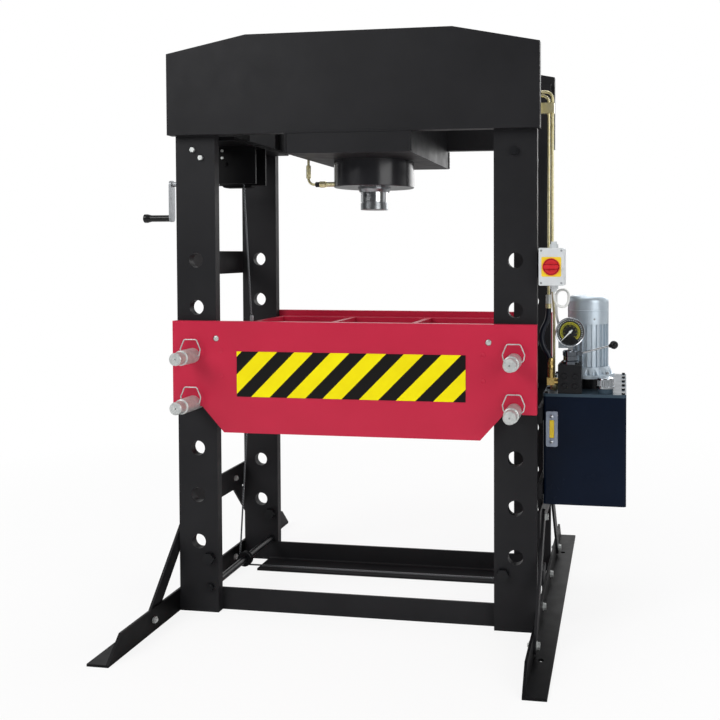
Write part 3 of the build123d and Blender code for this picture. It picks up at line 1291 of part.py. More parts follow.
# Gauge needle: pointer with a short tail, turning on its pin
NEEDLE_Y = GAUGE_FRONT_Y + DIAL_DEPTH - 2
with BuildPart() as gauge_needle:
    with BuildSketch(
        Plane(
            origin=(VALVE_X, NEEDLE_Y, GAUGE_Z),
            x_dir=(cos(radians(NEEDLE_ANGLE)), 0, sin(radians(NEEDLE_ANGLE))),
            z_dir=(0, -1, 0),
        )
    ):
        with BuildLine():
            Polyline((-10, -2.2), (-10, 2.2), (NEEDLE_LENGTH, 0.7), (NEEDLE_LENGTH, -0.7), close=True)
        make_face()
        Circle(NEEDLE_PIN)
        Circle(NEEDLE_PIN / 2 + RUNNING_FIT, mode=Mode.SUBTRACT)
    extrude(amount=-1)
save(gauge_needle.part, "gauge_needle")

# Switch box with a cover line, screwed to the end of the upper right side tie
SWITCH_X = FRAME_EDGE + TIE_STEEL + SWITCH_WIDTH / 2
with BuildPart() as switch_box:
    with BuildSketch(front(SWITCH_FRONT_Y)):
        with Locations((SWITCH_X, SWITCH_Z)):
            RectangleRounded(SWITCH_WIDTH, SWITCH_HEIGHT, 4)
    extrude(amount=-SWITCH_DEPTH)
    fillet(switch_box.faces().sort_by(Axis.Y)[0].edges(), 2.5)
    with BuildSketch(front(SWITCH_FRONT_Y + COVER_LINE_DEPTH)):
        with Locations((SWITCH_X, SWITCH_Z)):
            RectangleRounded(SWITCH_WIDTH, SWITCH_HEIGHT, 4)
            RectangleRounded(SWITCH_WIDTH - 2, SWITCH_HEIGHT - 2, 3, mode=Mode.SUBTRACT)
    extrude(amount=-2, mode=Mode.SUBTRACT)
    with BuildSketch(front(SWITCH_FRONT_Y)):
        with Locations((SWITCH_X, SWITCH_Z)):
            Circle(KNOB_STEM / 2 + RUNNING_FIT)
    extrude(amount=-KNOB_THICKNESS, mode=Mode.SUBTRACT)
save(switch_box.part, "switch_box")

# Switch knob: round disc with a raised grip bar, on a stem in the box
with BuildPart() as switch_knob:
    with BuildSketch(front(SWITCH_FRONT_Y - PULLEY_SIDE_GAP)):
        with Locations((SWITCH_X, SWITCH_Z)):
            Circle(KNOB_DIAMETER / 2)
    extrude(amount=KNOB_THICKNESS - KNOB_GRIP)
    with BuildSketch(front(SWITCH_FRONT_Y - PULLEY_SIDE_GAP - KNOB_THICKNESS + KNOB_GRIP)):
        with Locations((SWITCH_X, SWITCH_Z)):
            SlotOverall(KNOB_DIAMETER - 6, KNOB_GRIP)
    extrude(amount=KNOB_GRIP)
    with BuildSketch(front(SWITCH_FRONT_Y - PULLEY_SIDE_GAP)):
        with Locations((SWITCH_X, SWITCH_Z)):
            Circle(KNOB_STEM / 2)
    extrude(amount=-KNOB_THICKNESS + 2)
save(switch_knob.part, "switch_knob")

# Cable glands: the supply inlet on top of the box, the motor lead below it and at the motor
LEAD_X = SWITCH_X + 5
LEAD_Y = SWITCH_FRONT_Y + SWITCH_DEPTH / 2
SWITCH_TOP = SWITCH_Z + SWITCH_HEIGHT / 2
SWITCH_UNDER = SWITCH_Z - SWITCH_HEIGHT / 2
TERMINAL_FRONT = MOTOR_Y - TERMINAL_LENGTH / 2
TERMINAL_Z = BODY_Z + MOTOR_BODY_HEIGHT / 2 + TERMINAL_HEIGHT / 2
TERMINAL_ENTRY_X = TERMINAL_LEFT + 18
with BuildPart() as cable_glands:
    for start, direction in ((SWITCH_TOP, 1), (SWITCH_UNDER, -1)):
        with BuildSketch(level(start)):
            with Locations((LEAD_X, LEAD_Y)):
                RegularPolygon(CABLE_GLAND / 2, 6, major_radius=False)
        extrude(amount=direction * CABLE_GLAND * 0.5)
        with BuildSketch(level(start + direction * CABLE_GLAND * 0.5)):
            with Locations((LEAD_X, LEAD_Y)):
                Circle(CABLE_GLAND * 0.4)
        extrude(amount=direction * CABLE_GLAND * 0.35)
    with BuildSketch(front(TERMINAL_FRONT)):
        with Locations((TERMINAL_ENTRY_X, TERMINAL_Z)):
            RegularPolygon(CABLE_GLAND / 2.4, 6, major_radius=False)
    extrude(amount=CABLE_GLAND * 0.5)
save(cable_glands.part, "cable_glands")

# Rigid tubes. The return tube leaves the low port on the barrel's left, climbs outside the
# housing, crosses over it and comes out of the head's right end. The pressure tube leaves the
# housing's right wall. Both run down outside the right uprights to the power pack.
RETURN_X = TUBE_X + TUBE_PITCH
RETURN_Z = TUBE_Z + TUBE_PITCH
OVER_Z = HOUSING_TOP + TUBE_DIAMETER
CROSS_X = HOUSING_WIDTH / 2 + 45
PRESSURE_START = HOUSING_WIDTH / 2 + NUT_FLATS
RETURN_FOOT_Y = VALVE_Y + 55
RETURN_FITTING_Z = LID_TOP + NUT_FLATS
return_points = [
    (PORT_X + 2 * TUBE_BEND, 0, PORT_Z),
    (PORT_X, 0, PORT_Z),
    (PORT_X, 0, OVER_Z),
    (CROSS_X, 0, OVER_Z),
    (CROSS_X, TUBE_Y, OVER_Z),
    (CROSS_X, TUBE_Y, RETURN_Z),
    (RETURN_X, TUBE_Y, RETURN_Z),
    (RETURN_X, TUBE_Y, TUBE_END_Z + 60),
    (RETURN_X, RETURN_FOOT_Y, TUBE_END_Z - 40),
    (RETURN_X, RETURN_FOOT_Y, RETURN_FITTING_Z),
]
pressure_points = [
    (PRESSURE_START, -HOUSING_WIDTH / 4, TUBE_Z),
    (CROSS_X + 60, -HOUSING_WIDTH / 4, TUBE_Z),
    (CROSS_X + 60, TUBE_Y, TUBE_Z),
    (TUBE_X, TUBE_Y, TUBE_Z),
    (TUBE_X, TUBE_Y, TUBE_END_Z),
]
with BuildPart() as hydraulic_tubes:
    for points in (return_points, pressure_points):
        with BuildLine():
            tube_line = FilletPolyline(*points, radius=TUBE_BEND)
        with BuildSketch(Plane(origin=tube_line @ 0, z_dir=tube_line % 0)):
            Circle(TUBE_DIAMETER / 2)
        sweep(path=tube_line)
save(hydraulic_tubes.part, "hydraulic_tubes")

# Tube fittings: a clamp on a strip at the upright's edge under the head, a clamp on the upper
# side tie, and hexagon nuts at both ends of the tubes
BARREL_PORT_X = PORT_X + 2 * TUBE_BEND
with BuildPart() as tube_fittings:
    with BuildSketch(side(FRAME_EDGE)):
        with Locations((-HALF_DEPTH, UPPER_CLAMP_Z)):
            Rectangle(
                TUBE_Y + CLAMP_DEPTH / 2 + HALF_DEPTH,
                CLAMP_HEIGHT,
                align=(Align.MIN, Align.MIN),
            )
    extrude(amount=CLAMP_PLATE)
    with BuildSketch(level(UPPER_CLAMP_Z)):
        with Locations((FRAME_EDGE + CLAMP_PLATE, TUBE_Y)):
            Rectangle(RETURN_X - FRAME_EDGE + CLAMP_PLATE, CLAMP_DEPTH, align=(Align.MIN, Align.CENTER))
    extrude(amount=CLAMP_HEIGHT)
    with BuildSketch(level(LOWER_CLAMP_Z)):
        with Locations((FRAME_EDGE + TIE_STEEL, TUBE_Y)):
            Rectangle(RETURN_X - FRAME_EDGE, CLAMP_DEPTH, align=(Align.MIN, Align.CENTER))
    extrude(amount=CLAMP_HEIGHT)
    with BuildSketch(level(LOWER_CLAMP_Z)):
        with Locations((TUBE_X, TUBE_Y), (RETURN_X, TUBE_Y)):
            Circle(TUBE_DIAMETER / 2)
    extrude(amount=UPPER_CLAMP_Z + CLAMP_HEIGHT - LOWER_CLAMP_Z, mode=Mode.SUBTRACT)
    with BuildSketch(side(BARREL_PORT_X)):
        with Locations((0, PORT_Z)):
            RegularPolygon(NUT_FLATS / 2, 6, major_radius=False)
    extrude(amount=NUT_FLATS)
    with BuildSketch(side(BARREL_PORT_X + NUT_FLATS)):
        with Locations((0, PORT_Z)):
            Circle(NUT_FLATS * 0.4)
    extrude(amount=-BARREL_PORT_X - NUT_FLATS - BARREL_DIAMETER * 0.45)
    with Locations(Plane.XY.offset(BARREL_BOTTOM)):
        Cylinder(
            BARREL_DIAMETER / 2,
            BARREL_DROP,
            align=(Align.CENTER, Align.CENTER, Align.MIN),
            mode=Mode.SUBTRACT,
        )
    with BuildSketch(side(HOUSING_WIDTH / 2)):
        with Locations((-HOUSING_WIDTH / 4, TUBE_Z)):
            RegularPolygon(NUT_FLATS / 2, 6, major_radius=False)
    extrude(amount=NUT_FLATS)
    with BuildSketch(level(LID_TOP)):
        with Locations((RETURN_X, RETURN_FOOT_Y)):
            RegularPolygon(NUT_FLATS / 2, 6, major_radius=False)
    extrude(amount=NUT_FLATS)
    with BuildSketch(level(TUBE_END_Z - NUT_FLATS * 0.7)):
        with Locations((TUBE_X, TUBE_Y)):
            Circle(NUT_FLATS * 0.45)
    extrude(amount=NUT_FLATS * 0.7)
save(tube_fittings.part, "tube_fittings")


def corner_radii(points, share=0.45):
    """Arc radius at every inner corner of a bent line, from the shorter run and the turn."""
    radii = []
    for before, corner, after in zip(points, points[1:], points[2:]):
        run_in = Vector(*corner) - Vector(*before)
        run_out = Vector(*after) - Vector(*corner)
        half_turn = radians(run_in.get_angle(run_out)) / 2
        radii.append(share * min(run_in.length, run_out.length) * cos(half_turn) / sin(half_turn))
    return radii


# Hose from the pressure tube to the valve block, in a slack S with a straight run into its ferrule
HOSE_END_X = VALVE_X - BLOCK_WIDTH / 2 - 24
HOSE_END_Z = LID_TOP + 78
hose_points = [
    (TUBE_X, TUBE_Y, TUBE_END_Z - NUT_FLATS * 0.7),
    (TUBE_X, TUBE_Y, TUBE_END_Z - 51),
    (TUBE_X - 25, TUBE_Y, TUBE_END_Z - 94),
    (TUBE_X - 20, TUBE_Y, TUBE_END_Z - 140),
    (HOSE_END_X, TUBE_Y, HOSE_END_Z + 37),
    (HOSE_END_X, TUBE_Y, HOSE_END_Z),
]
with BuildPart() as hose:
    with BuildLine():
        hose_line = FilletPolyline(*hose_points, radius=corner_radii(hose_points))
    with BuildSketch(Plane(origin=hose_line @ 0, z_dir=hose_line % 0)):
        Circle(HOSE_DIAMETER / 2)
    sweep(path=hose_line)
save(hose.part, "hose")
print("hose", round(hose_line.length), "mm, radii", [round(r) for r in corner_radii(hose_points)])

# Brass ferrule and elbow at the hose's lower end
ELBOW_SIZE = 24
with BuildPart() as hose_elbow:
    with BuildSketch(level(HOSE_END_Z - 28)):
        with Locations((HOSE_END_X, TUBE_Y)):
            Circle(HOSE_DIAMETER * 0.6)
    extrude(amount=28)
    with Locations((HOSE_END_X, TUBE_Y, HOSE_END_Z - 28)):
        Box(ELBOW_SIZE, ELBOW_SIZE, ELBOW_SIZE, align=(Align.CENTER, Align.CENTER, Align.MAX))
    with BuildSketch(side(HOSE_END_X)):
        with Locations((TUBE_Y, HOSE_END_Z - 28 - ELBOW_SIZE / 2)):
            Circle(ELBOW_SIZE * 0.45)
    extrude(amount=VALVE_X - BLOCK_WIDTH / 2 - HOSE_END_X)
save(hose_elbow.part, "hose_elbow")

# Motor cable: out of the box's lower gland, one loose loop, then behind the gauge to the motor
cable_points = [
    (LEAD_X, LEAD_Y, SWITCH_UNDER - CABLE_GLAND * 0.85),
    (LEAD_X, LEAD_Y, SWITCH_UNDER - 64.5),
    (LEAD_X + 44, LEAD_Y + 8, SWITCH_UNDER - 72.5),
    (LEAD_X + 48, LEAD_Y + 18, SWITCH_UNDER - 14.5),
    (LEAD_X + 4, LEAD_Y + 30, SWITCH_UNDER - 16.5),
    (LEAD_X + 4, LEAD_Y + 52, SWITCH_UNDER - 72.5),
    (LEAD_X + 2, LEAD_Y + 92, SWITCH_UNDER - 110.5),
    (TERMINAL_ENTRY_X - 8, LEAD_Y + 122, SWITCH_UNDER - 150.5),
    (TERMINAL_ENTRY_X, TERMINAL_FRONT - 52, TERMINAL_Z),
    (TERMINAL_ENTRY_X, TERMINAL_FRONT - CABLE_GLAND / 2, TERMINAL_Z),
]
with BuildPart() as motor_cable:
    with BuildLine():
        cable_line = FilletPolyline(*cable_points, radius=corner_radii(cable_points))
    with BuildSketch(Plane(origin=cable_line @ 0, z_dir=cable_line % 0)):
        Circle(CABLE_DIAMETER / 2)
    sweep(path=cable_line)
save(motor_cable.part, "motor_cable")
print("motor cable", round(cable_line.length), "mm, radii", [round(r) for r in corner_radii(cable_points)])
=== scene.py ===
import json
import math

import bmesh
import bpy
from mathutils import Matrix, Vector


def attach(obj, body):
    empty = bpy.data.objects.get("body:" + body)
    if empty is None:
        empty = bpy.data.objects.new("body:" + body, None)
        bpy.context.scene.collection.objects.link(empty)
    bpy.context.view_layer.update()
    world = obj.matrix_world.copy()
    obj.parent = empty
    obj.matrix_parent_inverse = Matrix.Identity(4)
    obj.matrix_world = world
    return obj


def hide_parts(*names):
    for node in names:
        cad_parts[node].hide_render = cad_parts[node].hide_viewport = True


bl_info = {
    "name": "Workshop press",
    "version": (1, 0, 0),
    "blender": (4, 5, 0),
    "location": "View3D > Sidebar > Press",
    "description": "Dresses the packed workshop press with materials, cords and small parts",
    "category": "Object",
}

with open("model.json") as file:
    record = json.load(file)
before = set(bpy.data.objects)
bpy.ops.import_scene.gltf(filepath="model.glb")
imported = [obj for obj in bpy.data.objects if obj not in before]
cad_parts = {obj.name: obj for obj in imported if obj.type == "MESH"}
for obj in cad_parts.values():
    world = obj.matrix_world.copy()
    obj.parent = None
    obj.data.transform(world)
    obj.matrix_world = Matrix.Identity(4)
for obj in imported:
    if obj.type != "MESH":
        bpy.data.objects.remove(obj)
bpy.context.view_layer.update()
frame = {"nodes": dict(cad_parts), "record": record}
ROOT = "press"

# Places and sizes in millimetres that the part's solids give; +X right, +Y rear, +Z up
GAUGE = (715.0, -185.0, 966.0)
SWITCH = (663.0, -300.0, 1182.0)
SIGHT_GLASS = (658.0, 652.0)
SIGHT_FRONT = -214.0
SIGHT_BOSS = 3.0
LID_TOP = 767.0
VALVE_BLOCK = (715.0, -170.0)
BLOCK_FRONT = -201.0
BLOCK_HEIGHT = 95.0
MOTOR = (768.0, -40.0)
BELL_HEIGHT = 38.0
FLANGE_THICKNESS = 12.0
MOTOR_BODY_HEIGHT = 168.0
DRUM = (-535.0, 1547.0)
HOUSING_SIDE = 210.0
HOUSING_FACE = 300.0
HOUSING_BOTTOM = 1552.0
HEAD_BOTTOM = 1620.0
TIE_HOLE = (462.0, 940.0)
BOLSTER_FACE = 294.0
FRAME_EDGE = 615.0
SIDE_TIE_HEIGHTS = (345.0, 1190.0)

# Hazard bars in millimetres: one black and one yellow bar, the black one alone, and their offset
STRIPE_PERIOD = 124.0
STRIPE_BLACK = 59.0
STRIPE_PHASE = 2012.0

# A band wave with this scale repeats about every millimetre
BAND_SCALE = 0.31

# The gauge's layers lie this many millimetres behind the front of its case
DIAL_DEPTH = 6.6
SCALE_DEPTH = 6.25
NUMBER_DEPTH = 6.2
NEEDLE_DEPTH = 4.9

# The scale starts at the lower left and runs clockwise; both angles are in degrees
SCALE_START = 225.0
SCALE_SWEEP = 270.0
SCALE_BLOCKS = 27
SCALE_FINE_MARKS = 108
NUMBER_STEP = 50

# The camera: place in millimetres, rotation in radians, lens in millimetres, shift of the frame
CAMERA_PLACE = (890.1, -2940.0, 1227.8)
CAMERA_TURN = (math.pi / 2 - 0.0257, 0.0007, 0.1465)
CAMERA_LENS = 42.154
CAMERA_SHIFT = (-0.1944, -0.1195)

# Lamps: name, place and size in metres, power in watts
LAMPS = (
    ("key", (-2.6, -3.2, 3.4), 2.6, 108),
    ("fill", (3.2, -2.8, 2.0), 2.6, 58),
    ("top", (0.2, 0.4, 4.4), 2.8, 50),
    ("back", (1.5, 3.4, 2.6), 2.4, 44),
)


def mm(*values):
    """Millimetres to a vector in metres."""
    return Vector(values) * 0.001


def linear(code):
    """An sRGB hex colour as linear RGBA."""
    parts = [int(code[i : i + 2], 16) / 255 for i in (1, 3, 5)]
    return (*[c / 12.92 if c <= 0.04045 else ((c + 0.055) / 1.055) ** 2.4 for c in parts], 1.0)


def add(tree, kind, settings=None, **links):
    """Add a node: settings fill its properties or input values, links its inputs by name."""
    made = tree.nodes.new(kind)
    for key, value in (settings or {}).items():
        if hasattr(made, key):
            setattr(made, key, value)
        else:
            made.inputs[key].default_value = value
    for key, source in links.items():
        tree.links.new(source, made.inputs[key.replace("_", " ")])
    return made


def start_material(name):
    """An empty node material with its shader, and coordinates in millimetres."""
    material = bpy.data.materials.new(name)
    material.use_nodes = True
    tree = material.node_tree
    shader = tree.nodes["Principled BSDF"]
    place = add(tree, "ShaderNodeTexCoord")
    scaled = add(tree, "ShaderNodeMapping", {"Scale": (1000, 1000, 1000)}, Vector=place.outputs["Object"])
    return material, tree, shader, scaled.outputs["Vector"]


def noise(tree, vector, size, detail=3.0, rough=0.5):
    """Noise whose grains are about size millimetres across."""
    settings = {"Scale": 1 / size, "Detail": detail, "Roughness": rough}
    return add(tree, "ShaderNodeTexNoise", settings, Vector=vector).outputs["Fac"]


def span(tree, value, low, high, from_low=0.3, from_high=0.7):
    """Map a grey value to a range of numbers."""
    settings = {"From Min": from_low, "From Max": from_high, "To Min": low, "To Max": high}
    return add(tree, "ShaderNodeMapRange", settings, Value=value).outputs["Result"]


def blend(tree, factor, first, second):
    """Mix two colours by a factor; either may be a hex code or a socket."""
    mix = tree.nodes.new("ShaderNodeMix")
    mix.data_type = "RGBA"
    tree.links.new(factor, mix.inputs[0])
    for socket, colour in ((mix.inputs[6], first), (mix.inputs[7], second)):
        if isinstance(colour, str):
            socket.default_value = linear(colour)
        else:
            tree.links.new(colour, socket)
    return mix.outputs[2]


def bump(tree, height, distance):
    """Bump of the given depth in millimetres."""
    settings = {"Distance": distance * 0.001, "Strength": 1.0}
    return add(tree, "ShaderNodeBump", settings, Height=height).outputs["Normal"]


def paint(name, colour, tone, rough, peel=0.05, grain=2.2, coat=0.0, specular=0.5):
    """Sprayed paint on steel: orange-peel bump, faint tone drift and uneven gloss."""
    material, tree, shader, where = start_material(name)
    drift = span(tree, noise(tree, where, 260, 4), 0, 1)
    tree.links.new(blend(tree, drift, colour, tone), shader.inputs["Base Color"])
    tree.links.new(span(tree, noise(tree, where, 60, 5, 0.6), *rough), shader.inputs["Roughness"])
    fine = noise(tree, where, grain, 2)
    tree.links.new(bump(tree, fine, peel), shader.inputs["Normal"])
    shader.inputs["Coat Weight"].default_value = coat
    shader.inputs["Coat Roughness"].default_value = 0.12
    shader.inputs["Specular IOR Level"].default_value = specular
    return material


def metal(name, colour, tone, rough, stretch=(1, 1, 1), size=1.2, depth=0.01, cloud=30, bare=1.0):
    """Bare or plated metal: tool marks stretched along the axes, and a tone with clouds of a given size."""
    material, tree, shader, where = start_material(name)
    marks = add(tree, "ShaderNodeMapping", {"Scale": stretch}, Vector=where)
    lines = noise(tree, marks.outputs["Vector"], size, 3)
    drift = span(tree, noise(tree, where, cloud, 4, 0.6), 0, 1)
    tree.links.new(blend(tree, drift, colour, tone), shader.inputs["Base Color"])
    tree.links.new(span(tree, lines, *rough), shader.inputs["Roughness"])
    tree.links.new(bump(tree, lines, depth), shader.inputs["Normal"])
    shader.inputs["Metallic"].default_value = bare
    return material


def plastic(name, colour, tone, rough=(0.35, 0.5), grain=0.8, depth=0.02, specular=0.5):
    """Moulded plastic: fine spark-eroded grain and slight tone drift."""
    material, tree, shader, where = start_material(name)
    drift = span(tree, noise(tree, where, 40, 3), 0, 1)
    tree.links.new(blend(tree, drift, colour, tone), shader.inputs["Base Color"])
    tree.links.new(span(tree, noise(tree, where, 15, 3), *rough), shader.inputs["Roughness"])
    tree.links.new(bump(tree, noise(tree, where, grain, 2), depth), shader.inputs["Normal"])
    shader.inputs["Specular IOR Level"].default_value = specular
    return material


def stripes(name):
    """Screen-printed hazard bars on a painted sheet, leaning to the right at 45 degrees."""
    material, tree, shader, where = start_material(name)
    parts = add(tree, "ShaderNodeSeparateXYZ", Vector=where)
    lean = add(tree, "ShaderNodeMath", {"operation": "SUBTRACT"})
    tree.links.new(parts.outputs["X"], lean.inputs[0])
    tree.links.new(parts.outputs["Z"], lean.inputs[1])
    moved = add(tree, "ShaderNodeMath", {"operation": "ADD"})
    moved.inputs[1].default_value = STRIPE_PHASE
    tree.links.new(lean.outputs[0], moved.inputs[0])
    wrapped = add(tree, "ShaderNodeMath", {"operation": "FLOORED_MODULO"})
    wrapped.inputs[1].default_value = STRIPE_PERIOD
    tree.links.new(moved.outputs[0], wrapped.inputs[0])
    dark = add(tree, "ShaderNodeMath", {"operation": "LESS_THAN"})
    dark.inputs[1].default_value = STRIPE_BLACK
    tree.links.new(wrapped.outputs[0], dark.inputs[0])
    yellow = blend(tree, span(tree, noise(tree, where, 90, 3), 0, 1), "#FBEC08", "#F2E005")
    tree.links.new(blend(tree, dark.outputs[0], yellow, "#161514"), shader.inputs["Base Color"])
    shader.inputs["Specular IOR Level"].default_value = 0.15
    tree.links.new(span(tree, noise(tree, where, 30, 4), 0.32, 0.42), shader.inputs["Roughness"])
    tree.links.new(bump(tree, noise(tree, where, 1.8, 2), 0.02), shader.inputs["Normal"])
    return material


def strand(name, colour, tone, pitch):
    """Twisted steel wires: slanting bands that wrap round the rope."""
    material, tree, shader, where = start_material(name)
    settings = {"wave_type": "BANDS", "bands_direction": "DIAGONAL", "Distortion": 0.6}
    settings["Scale"] = BAND_SCALE / pitch
    bands = add(tree, "ShaderNodeTexWave", settings, Vector=where)
    tree.links.new(blend(tree, bands.outputs["Fac"], colour, tone), shader.inputs["Base Color"])
    tree.links.new(bump(tree, bands.outputs["Fac"], 0.5), shader.inputs["Normal"])
    shader.inputs["Metallic"].default_value = 0.85
    shader.inputs["Roughness"].default_value = 0.42
    return material


def clear(name, colour, rough):
    """Clear pane, rough being its least roughness."""
    material, tree, shader, where = start_material(name)
    shader.inputs["Base Color"].default_value = linear(colour)
    tree.links.new(span(tree, noise(tree, where, 25, 2), rough, rough + 0.02), shader.inputs["Roughness"])
    shader.inputs["Transmission Weight"].default_value = 1.0
    shader.inputs["IOR"].default_value = 1.3
    shader.inputs["Specular IOR Level"].default_value = 0.3
    return material


MATERIALS = {}


def make_materials():
    """Every material of the press, named for what it is."""
    paints = {
        # satin charcoal machine paint, with a faint orange peel
        "frame_paint": paint("charcoal_paint", "#202022", "#262628", (0.42, 0.54), 0.06, 2.4, specular=0.12),
        # gloss crimson enamel, with a thin clear shine on it
        "bolster_paint": paint("crimson_enamel", "#C42644", "#BC233F", (0.3, 0.4), coat=0.05, specular=0.25),
        # black and yellow bars printed on a satin sheet
        "hazard_paint": stripes("hazard_sheet"),
        # dark grey enamel on the turned barrel, smooth enough for sharp streaks of light
        "cylinder_paint": paint(
            "cylinder_enamel", "#232326", "#2A2A2D", (0.18, 0.26), 0.03, 3.0, coat=0.1, specular=0.4
        ),
        # blue-black gloss enamel
        "tank_paint": paint("tank_enamel", "#0A1322", "#0B1628", (0.2, 0.28), 0.04, 3.5, specular=0.08),
        # the tank's blue-black enamel on the flat lid, drawn lighter blue-grey as a painted sheen of light
        # on its top
        "lid_sheen_paint": paint("lid_enamel_painted_sheen", "#33414C", "#3F4E5A", (0.34, 0.44), 0.04, 3.0, specular=0.1),
        # black paint over a sand casting, with its coarse skin
        "black_iron": paint("black_casting", "#101113", "#17181B", (0.3, 0.45), 0.15, 1.4, specular=0.25),
        # the frame's charcoal paint drawn near black on the winch and the feet, as painted shade where they
        # lie unlit
        "painted_shade_black": paint("charcoal_painted_shade", "#0B0B0C", "#111113", (0.4, 0.5), 0.06, 2.4, specular=0.1),
        # silver lacquer of the motor, whose flakes shine like dull metal
        "motor_paint": metal(
            "motor_silver", "#BCC9D4", "#CBD7E0", (0.3, 0.42), size=1.8, cloud=60, bare=0.55
        ),
    }
    metals = {
        # turned steel; its lathe marks are drawn coarser than real ones, so that they show
        "ground_steel": metal(
            "turned_steel", "#8E9194", "#A3A6A9", (0.22, 0.34), (0.2, 0.2, 6), size=0.9, depth=0.012
        ),
        # polished hard chrome, a soft mirror
        "hard_chrome": metal(
            "hard_chrome", "#C9CCCF", "#D8DADD", (0.14, 0.24), (0.4, 0.4, 5), size=0.8, depth=0.003, cloud=60
        ),
        # dull galvanised steel with patches of spangle
        "galvanised": metal(
            "galvanised_steel", "#8A8D90", "#A6A9AC", (0.34, 0.5), size=1.4, depth=0.02, cloud=7, bare=0.6
        ),
        # bright zinc of the pins, pale and soft, with turning marks
        "pin_zinc": metal(
            "bright_zinc", "#B9BDBC", "#D6D9D7", (0.3, 0.46), (1, 4, 1), depth=0.02, cloud=14, bare=0.4
        ),
        # yellow zinc plating, pale straw in colour
        "zinc_yellow": metal(
            "yellow_zinc", "#D8CC92", "#E9E2BC", (0.18, 0.3), (1, 1, 0.3), 1.0, 0.006, cloud=12, bare=0.55
        ),
        # turned brass of the ferrule and the elbow
        "brass": metal(
            "turned_brass", "#B99A55", "#CDB373", (0.2, 0.32), (0.3, 0.3, 3), size=0.9, cloud=20, bare=0.85
        ),
        # twisted steel wires with dark gaps between them
        "wire_rope": strand("wire_rope", "#2E3033", "#85888B", 5.0),
        # bright nickel plating of the gauge and the filler cap
        "nickel": metal(
            "bright_nickel", "#AEB3B8", "#C6CACE", (0.08, 0.18), (0.3, 0.3, 4), size=0.8, depth=0.006
        ),
        # smoked chrome of the hand valve, a dark mirror
        "dark_chrome": metal(
            "dark_chrome", "#747A82", "#8B9198", (0.08, 0.16), (0.3, 0.3, 4), size=0.8, depth=0.004, cloud=40
        ),
    }
    plastics = {
        # moulded pale grey of the switch box, satin
        "grey_plastic": plastic("pale_grey_plastic", "#D6DADC", "#CDD2D4"),
        # clouded blue-grey frame of the oil gauge
        "sight_plastic": plastic("blue_grey_plastic", "#7E8798", "#8C95A5", (0.2, 0.3), 1.0, 0.01),
        # glossy red of the turning switch
        "red_plastic": plastic("red_plastic", "#D62F36", "#C92A31", (0.25, 0.35), 1.0, 0.01, 0.3),
        # dark red painted shade in the switch knob's groove and round its grip
        "groove_shade_red": plastic("red_painted_shade", "#5E1016", "#6A141B", (0.5, 0.6), 1.0, 0.01, 0.1),
        # warm yellow plate behind the switch
        "yellow_plastic": plastic("yellow_plastic", "#F5D43A", "#EECB2C", (0.3, 0.4), specular=0.3),
        # glossy black of the grip and the lever's ball
        "black_plastic": plastic("black_plastic", "#0A0A0B", "#101011", (0.2, 0.3), 1.2, 0.01, 0.3),
        # soft white sheath of the motor cable
        "white_plastic": plastic("white_sheath", "#DFE1DE", "#D6D8D5", (0.4, 0.5), 1.0),
        # black rubber hose with a rough skin
        "hose_rubber": plastic("black_rubber", "#080C16", "#0E1422", (0.28, 0.4), 1.1, 0.08, 0.35),
        # white enamel of the needle and the outer scale
        "needle_paint": plastic("white_enamel", "#F6F6F4", "#F0F0EE", (0.3, 0.4), 0.6, 0.005),
        # matt black face of the dial, and its printed yellow scale
        "dial_black": plastic("dial_black", "#08090C", "#0B0C10", (0.5, 0.6), 0.5, 0.005, 0.1),
        "dial_yellow": plastic("dial_yellow", "#E6DC3A", "#DCD232", (0.4, 0.5), 0.5, 0.005, 0.2),
        # yellow hydraulic oil behind the window
        "oil": plastic("hydraulic_oil", "#EBCB1E", "#DDB915", (0.08, 0.16), 4.0, 0.01),
        # clear glass over the dial
        "clear_glass": clear("clear_glass", "#F8FBFC", 0.0),
    }
    MATERIALS.update({**paints, **metals, **plastics})


def paint_nodes():
    """Give every CAD node its own finish or its record slot's, and soften the edges of large ones."""
    for entry in frame["record"]["subparts"]:
        piece = frame["nodes"][entry["node"]]
        material = MATERIALS[OWN_MATERIAL.get(entry["node"], entry["material_slot"])]
        if not piece.material_slots:
            piece.data.materials.append(material)
        for slot in piece.material_slots:
            slot.link = "DATA"
            slot.material = material
        width = EDGE_WIDTH.get(entry["node"])
        if width is not None:
            edge = piece.modifiers.new("edges", "BEVEL")
            edge.width = width * 0.001
            edge.segments = 2
            edge.limit_method = "ANGLE"
            edge.angle_limit = math.radians(40)
            edge.use_clamp_overlap = True


# Nodes with a finish of their own, where the record's slot is too general
OWN_MATERIAL = {
    "hose_elbow": "brass",
    "valve_body": "dark_chrome",
    "gauge_case": "nickel",
    "filler_cap": "nickel",
    "cross_rods": "black_iron",
    "sight_glass": "sight_plastic",
    # the lid takes the tank's enamel lightened into a painted sheen
    "tank_lid": "lid_sheen_paint",
    # the feet take the frame's charcoal darkened into painted shade
    "feet": "painted_shade_black",
    "frame_bolts": "pin_zinc",
    "pulley_low_left": "black_iron",
    "pulley_low_right": "black_iron",
    # the winch takes the frame's charcoal darkened into painted shade
    "winch_frame": "painted_shade_black",
    "winch_gearcase": "painted_shade_black",
    "winch_drum": "painted_shade_black",
    "pin_upper_left": "pin_zinc",
    "pin_upper_right": "pin_zinc",
    "pin_lower_left": "pin_zinc",
    "pin_lower_right": "pin_zinc",
}
